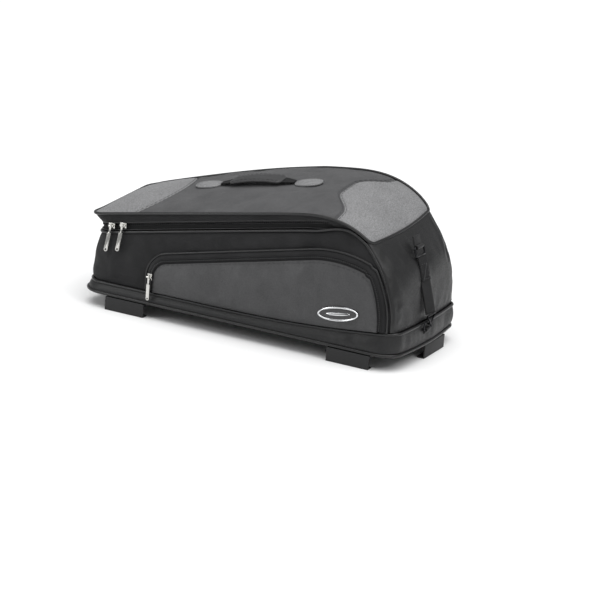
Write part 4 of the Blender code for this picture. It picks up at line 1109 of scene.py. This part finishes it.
def pocketPath(inset, footZ=22.0):
    radius = pocket["arcR"] - inset
    points = [(pocket["arcX"] - radius, footZ + i * 2) for i in range(10)
              if footZ + i * 2 < pocket["arcZ"] - 1]
    for i in range(13):
        a = math.pi - i * (math.pi / 2 - math.atan(pocket["slope"])) / 12
        points.append((pocket["arcX"] + radius * math.cos(a), pocket["arcZ"] + radius * math.sin(a)))
    x0, z0 = points[-1]
    drop = z0 - pocketTop(x0)
    corner = 200.0
    for _ in range(40):
        corner = (corner + seamX(pocketTop(corner) + drop) - 15 - inset) / 2
    for i in range(1, 60):
        x = x0 + i * (corner - 4 - x0) / 60
        points.append((x, pocketTop(x) + drop))
    x1, z1 = points[-1]
    for i in range(1, 5):
        t = i / 5
        points.append((x1 + 5.0 * math.sin(t * math.pi / 2), z1 - 6.0 * (1 - math.cos(t * math.pi / 2))))
    zCorner = points[-1][1]
    for i in range(1, 30):
        z = zCorner - i * (zCorner - 34) / 29
        points.append((seamX(z) - 15 - inset, z))
    return points


def offWall(x, z, n):
    return spot(x, -(wallN(x, z) + n), z)


def pocketStrip(outside, inside, nOutside, nInside):
    a, b = (Walk([(x, 0, z) for x, z in pocketPath(inset)]) for inset in (outside, inside))

    def place(u, v):
        p = a.at(u).lerp(b.at(u), v)
        return offWall(p.x, p.z, nOutside + v * (nInside - nOutside) + 0.5 * math.sin(math.pi * v))
    return place, a.length * mm


place, length = pocketStrip(-9.3, -1.4, 0.8, 6.0)
bm = clothGrid(260, 8, place, length, 0.01, toward(0, -1, 0))
sewnPiece("pocket_gusset_nylon", bm, "nylon", "bag", ["pocket_gusset"],
          pocket["gussetThickness"], 1)
place, length = pocketStrip(-3.2, 4.4, 5.3, 5.6)
bm = clothGrid(260, 6, place, length, 0.008, toward(0, -1, 0))
sewnPiece("pocket_zip_tape", bm, "tape", "bag", ["pocket_zip"], pocket["tapeThickness"])
way = Walk([offWall(x, z, 6.3) for x, z in pocketPath(0.3)])
teeth("pocket_zip_coil", way, toward(0, -1, 0), 1.5, (1.05, 1.5, 2.6), "coil", "bag")
pipe("pocket_edge_piping", [offWall(x, z, 1.9) for x, z in pocketPath(-9.6)], pocket["pipingRadius"],
     "piping", "bag", ["pocket_piping"])

pocketRim = Walk([(x, 0, z) for x, z in pocketPath(3.4)])


def pocketSpot(u, v, lift=0.0):
    rim = pocketRim.at(u)
    first, last = pocketRim.points[0], pocketRim.points[-1]
    footX = first.x + (last.x - first.x) * u
    footZ = bodyFoot(footX) + 3.0
    x, z = footX + v * (rim.x - footX), footZ + v * (rim.z - footZ)
    if u < 0.02 or u > 0.98:
        z = footZ + v * max(rim.z - footZ, 3)
    # the padding stands fullest a third of the way up and is drawn in at the sewn edges
    full = pocket["pad"] * math.sin(math.pi * v ** 0.85) ** 0.8 * math.sin(math.pi * clamp(u)) ** 0.45
    return offWall(x, z, 5.4 + full + lift)


def pocketCloth(u, v):
    here = pocketSpot(u, v)
    edge = min(v, 1 - v) * 60
    lift = ease(edge / 14) * ease(min(u, 1 - u) * 400 / 20)
    lift *= wrinkle(Vector((here.x, here.y, here.z * 1.7)), 65, pocket["foldDepth"], 17)
    lift -= 1.0 * math.exp(-edge / 2.0)
    return pocketSpot(u, v, lift)


bm = clothGrid(200, 30, pocketCloth, pocketRim.length * mm, 0.075, toward(0, -1, 0))
rows = [seamRow(pocketCloth, [(0.01 + 0.98 * i / 160, 0.95) for i in range(161)], Vector((0, -1, 0)))]
stitches("pocket_stitches", rows, "thread", "bag", 2.6, 1.2, 0.6)
bm = settle(bm, "pocket cloth", 2.0, 0.01)
piece = sewnPiece("pocket_front_vinyl", bm, "vinyl", "bag", ["pocket_panel"],
                  pocket["thickness"], 1)
print("pocket made")


# badge: a plain oval, chrome rim round a dark field with one polished bar

badge = {"x": 162.0, "z": 50.0, "off": 12.2, "tilt": math.atan(0.16), "length": 61.0, "height": 20.5}
badgeTurn = (Matrix.Translation(spot(badge["x"], -(wallN(badge["x"], badge["z"]) + badge["off"]), badge["z"]))
             @ Matrix.Rotation(-badge["tilt"], 4, "Y") @ Matrix.Rotation(math.pi / 2, 4, "X"))


def ovalDisc(name, look, replaced, length, height, segments, moves):
    bm = bmesh.new()
    ring = bmesh.ops.create_circle(bm, segments=segments, radius=1.0, cap_ends=True)["verts"]
    bmesh.ops.scale(bm, vec=(length / 2, height / 2, 1), verts=ring)
    stepped(bm, bm.faces[:][0], moves)
    bmesh.ops.scale(bm, vec=(mm, mm, mm), verts=bm.verts)
    bmesh.ops.transform(bm, matrix=badgeTurn, verts=bm.verts)
    finishPiece(name, bm, look, "bag", replaced, 40)


ovalDisc("badge_rim_chrome", "chrome", ["badge_rim"], badge["length"], badge["height"], 72,
         ((0, 1.2), (0.35, 0.5), (0.5, 0.25), (0.5, 0.0), (0.5, -0.25), (0.35, -0.5)))
ovalDisc("badge_field_enamel", "enamel", ["badge_plate"], badge["length"] - 5.4, badge["height"] - 5.4, 72,
         ((0, 1.45), (1.0, 0.25), (1.5, 0.15)))
ovalDisc("badge_bar_chrome", "chrome", [], badge["length"] * 0.6, badge["height"] * 0.2, 48,
         ((0, 2.0), (0.35, 0.35), (0.6, 0.15)))
print("badge made")


# zip sliders and pulls

for name in ("main_slider_a", "main_slider_b", "pocket_slider", "main_pull_a", "main_pull_b", "pocket_pull"):
    refined(name + "_plated", name, "nickel", name, 0.28, 3, 35)
print("sliders made")


# front strap: anchor, ring, webbing and hook

for name, body, look, slotName in (("strap_anchor", "bag", "rubber", "webbing"),
                                   ("strap_ring", "strap", "blackMetal", "zinc_alloy"),
                                   ("strap_hook", "strap", "blackMetal", "zinc_alloy"),
                                   ("strap_base_ring", "bag", "blackMetal", "zinc_alloy"),
                                   ("strap_base_tab", "bag", "rubber", "webbing")):
    refined(name + "_finished", name, look, body, 0.4, 2, 50)

strapLow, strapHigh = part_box("end_strap")
strap = {"width": 25.0, "thickness": 1.8, "turn": math.radians(5)}
strapTop = Vector((strapLow.x + 0.0012, (strapLow.y + strapHigh.y) / 2, strapHigh.z))
strapFoot = Vector((strapHigh.x - 0.0012, strapTop.y, strapLow.z))


def strapSpot(u, v):
    along = strapTop.lerp(strapFoot, u)
    sag = -0.6 * math.sin(math.pi * u) * mm
    across = (v - 0.5) * strap["width"] * mm
    return along + Vector((across * math.sin(strap["turn"]) - sag, across * math.cos(strap["turn"]), 0))


def foldedEndSpot(u, v):
    # the folded-back end, sewn down below the ring
    proud = 0.0019 * math.sin(math.pi * min(1, 0.12 + u)) ** 0.3 if u < 0.88 else 0.0017
    return strapSpot(u * 0.42, 0.03 + v * 0.94) + Vector((proud, 0, 0.0006))


bm = clothGrid(60, 12, strapSpot, (strapTop - strapFoot).length, 0.025, toward(1, 0, 0))
sewnPiece("end_strap_webbing", bm, "webbing", "strap", ["end_strap"], strap["thickness"])
bm = clothGrid(24, 12, foldedEndSpot, 0.034, 0.023, toward(1, 0, 0))
sewnPiece("end_strap_fold", bm, "webbing", "strap", [], strap["thickness"])
boxes = [[(u, v) for u in (0.12, 0.2, 0.3, 0.38)] for v in (0.16, 0.84)]
boxes += [[(u, v) for v in (0.16, 0.4, 0.6, 0.84)] for u in (0.12, 0.38)]
rows = [[(strapSpot(u, v) + Vector((0.0021, 0, 0)), Vector((1, 0, 0.3))) for u, v in line] for line in boxes]
stitches("strap_stitches", rows, "thread", "strap", 2.2, 0.8, 0.6)
print("strap made")


# studio: pale floor, soft light, camera

studio = {"floorHalf": 6.0, "paper": "f2f2f2", "air": "f6f7f8", "airStrength": 0.42,
          "overhead": 2.7, "overheadSpread": 70, "overheadLean": (6, 9),
          "lens": 115.8, "right": (0.8902, 0.4485, 0.0799), "up": (-0.1952, 0.217, 0.9565),
          "back": (0.4117, -0.867, 0.2807), "place": (1.1864, -2.3860, 0.8132)}
areaLights = (("left", (-1.5, -1.5, 1.1), (0, 0, 0.1), 0.7, 11),
              ("right", (1.9, -0.7, 1.6), (0.1, 0, 0.1), 0.35, 7))  # name, place, target, size, watts
scene = bpy.context.scene


def stand(name, data):
    obj = bpy.data.objects.new(name, data)
    scene.collection.objects.link(obj)
    return obj


bm = bmesh.new()
bmesh.ops.create_grid(bm, x_segments=1, y_segments=1, size=studio["floorHalf"])
mesh = bpy.data.meshes.new("floor")
bm.to_mesh(mesh)
bm.free()
# matt paper: takes a soft shadow and no reflection
paper = startMaterial("studio paper", {"Base Color": toLinear(studio["paper"]), "Roughness": 0.9})[0]
mesh.materials.append(paper)
stand("floor", mesh)

# blacks keep their depth and the paper its white
scene.view_settings.view_transform = "Standard"
scene.world = bpy.data.worlds.new("studio")
scene.world.use_nodes = True
air = scene.world.node_tree.nodes["Background"]
air.inputs["Color"].default_value = toLinear(studio["air"])
air.inputs["Strength"].default_value = studio["airStrength"]

# one broad light straight above, and two small ones for the highlights on the piping and metal
sky = bpy.data.lights.new("overhead", "SUN")
sky.energy = studio["overhead"]
sky.angle = math.radians(studio["overheadSpread"])
stand("overhead", sky).rotation_euler = [math.radians(a) for a in studio["overheadLean"]] + [0]
for name, place, target, size, power in areaLights:
    lamp = bpy.data.lights.new(name, "AREA")
    lamp.size = size
    lamp.energy = power
    obj = stand(name, lamp)
    obj.location = place
    obj.rotation_euler = (Vector(target) - Vector(place)).to_track_quat("-Z", "Y").to_euler()

camera = stand("camera", bpy.data.cameras.new("camera"))
camera.data.lens = studio["lens"]
camera.data.sensor_width = 36
camera.data.clip_start = 0.05
turn = Matrix([studio[side] for side in ("right", "up", "back")]).transposed().to_4x4()
turn.translation = studio["place"]
camera.matrix_world = turn
scene.camera = camera
print("studio set")
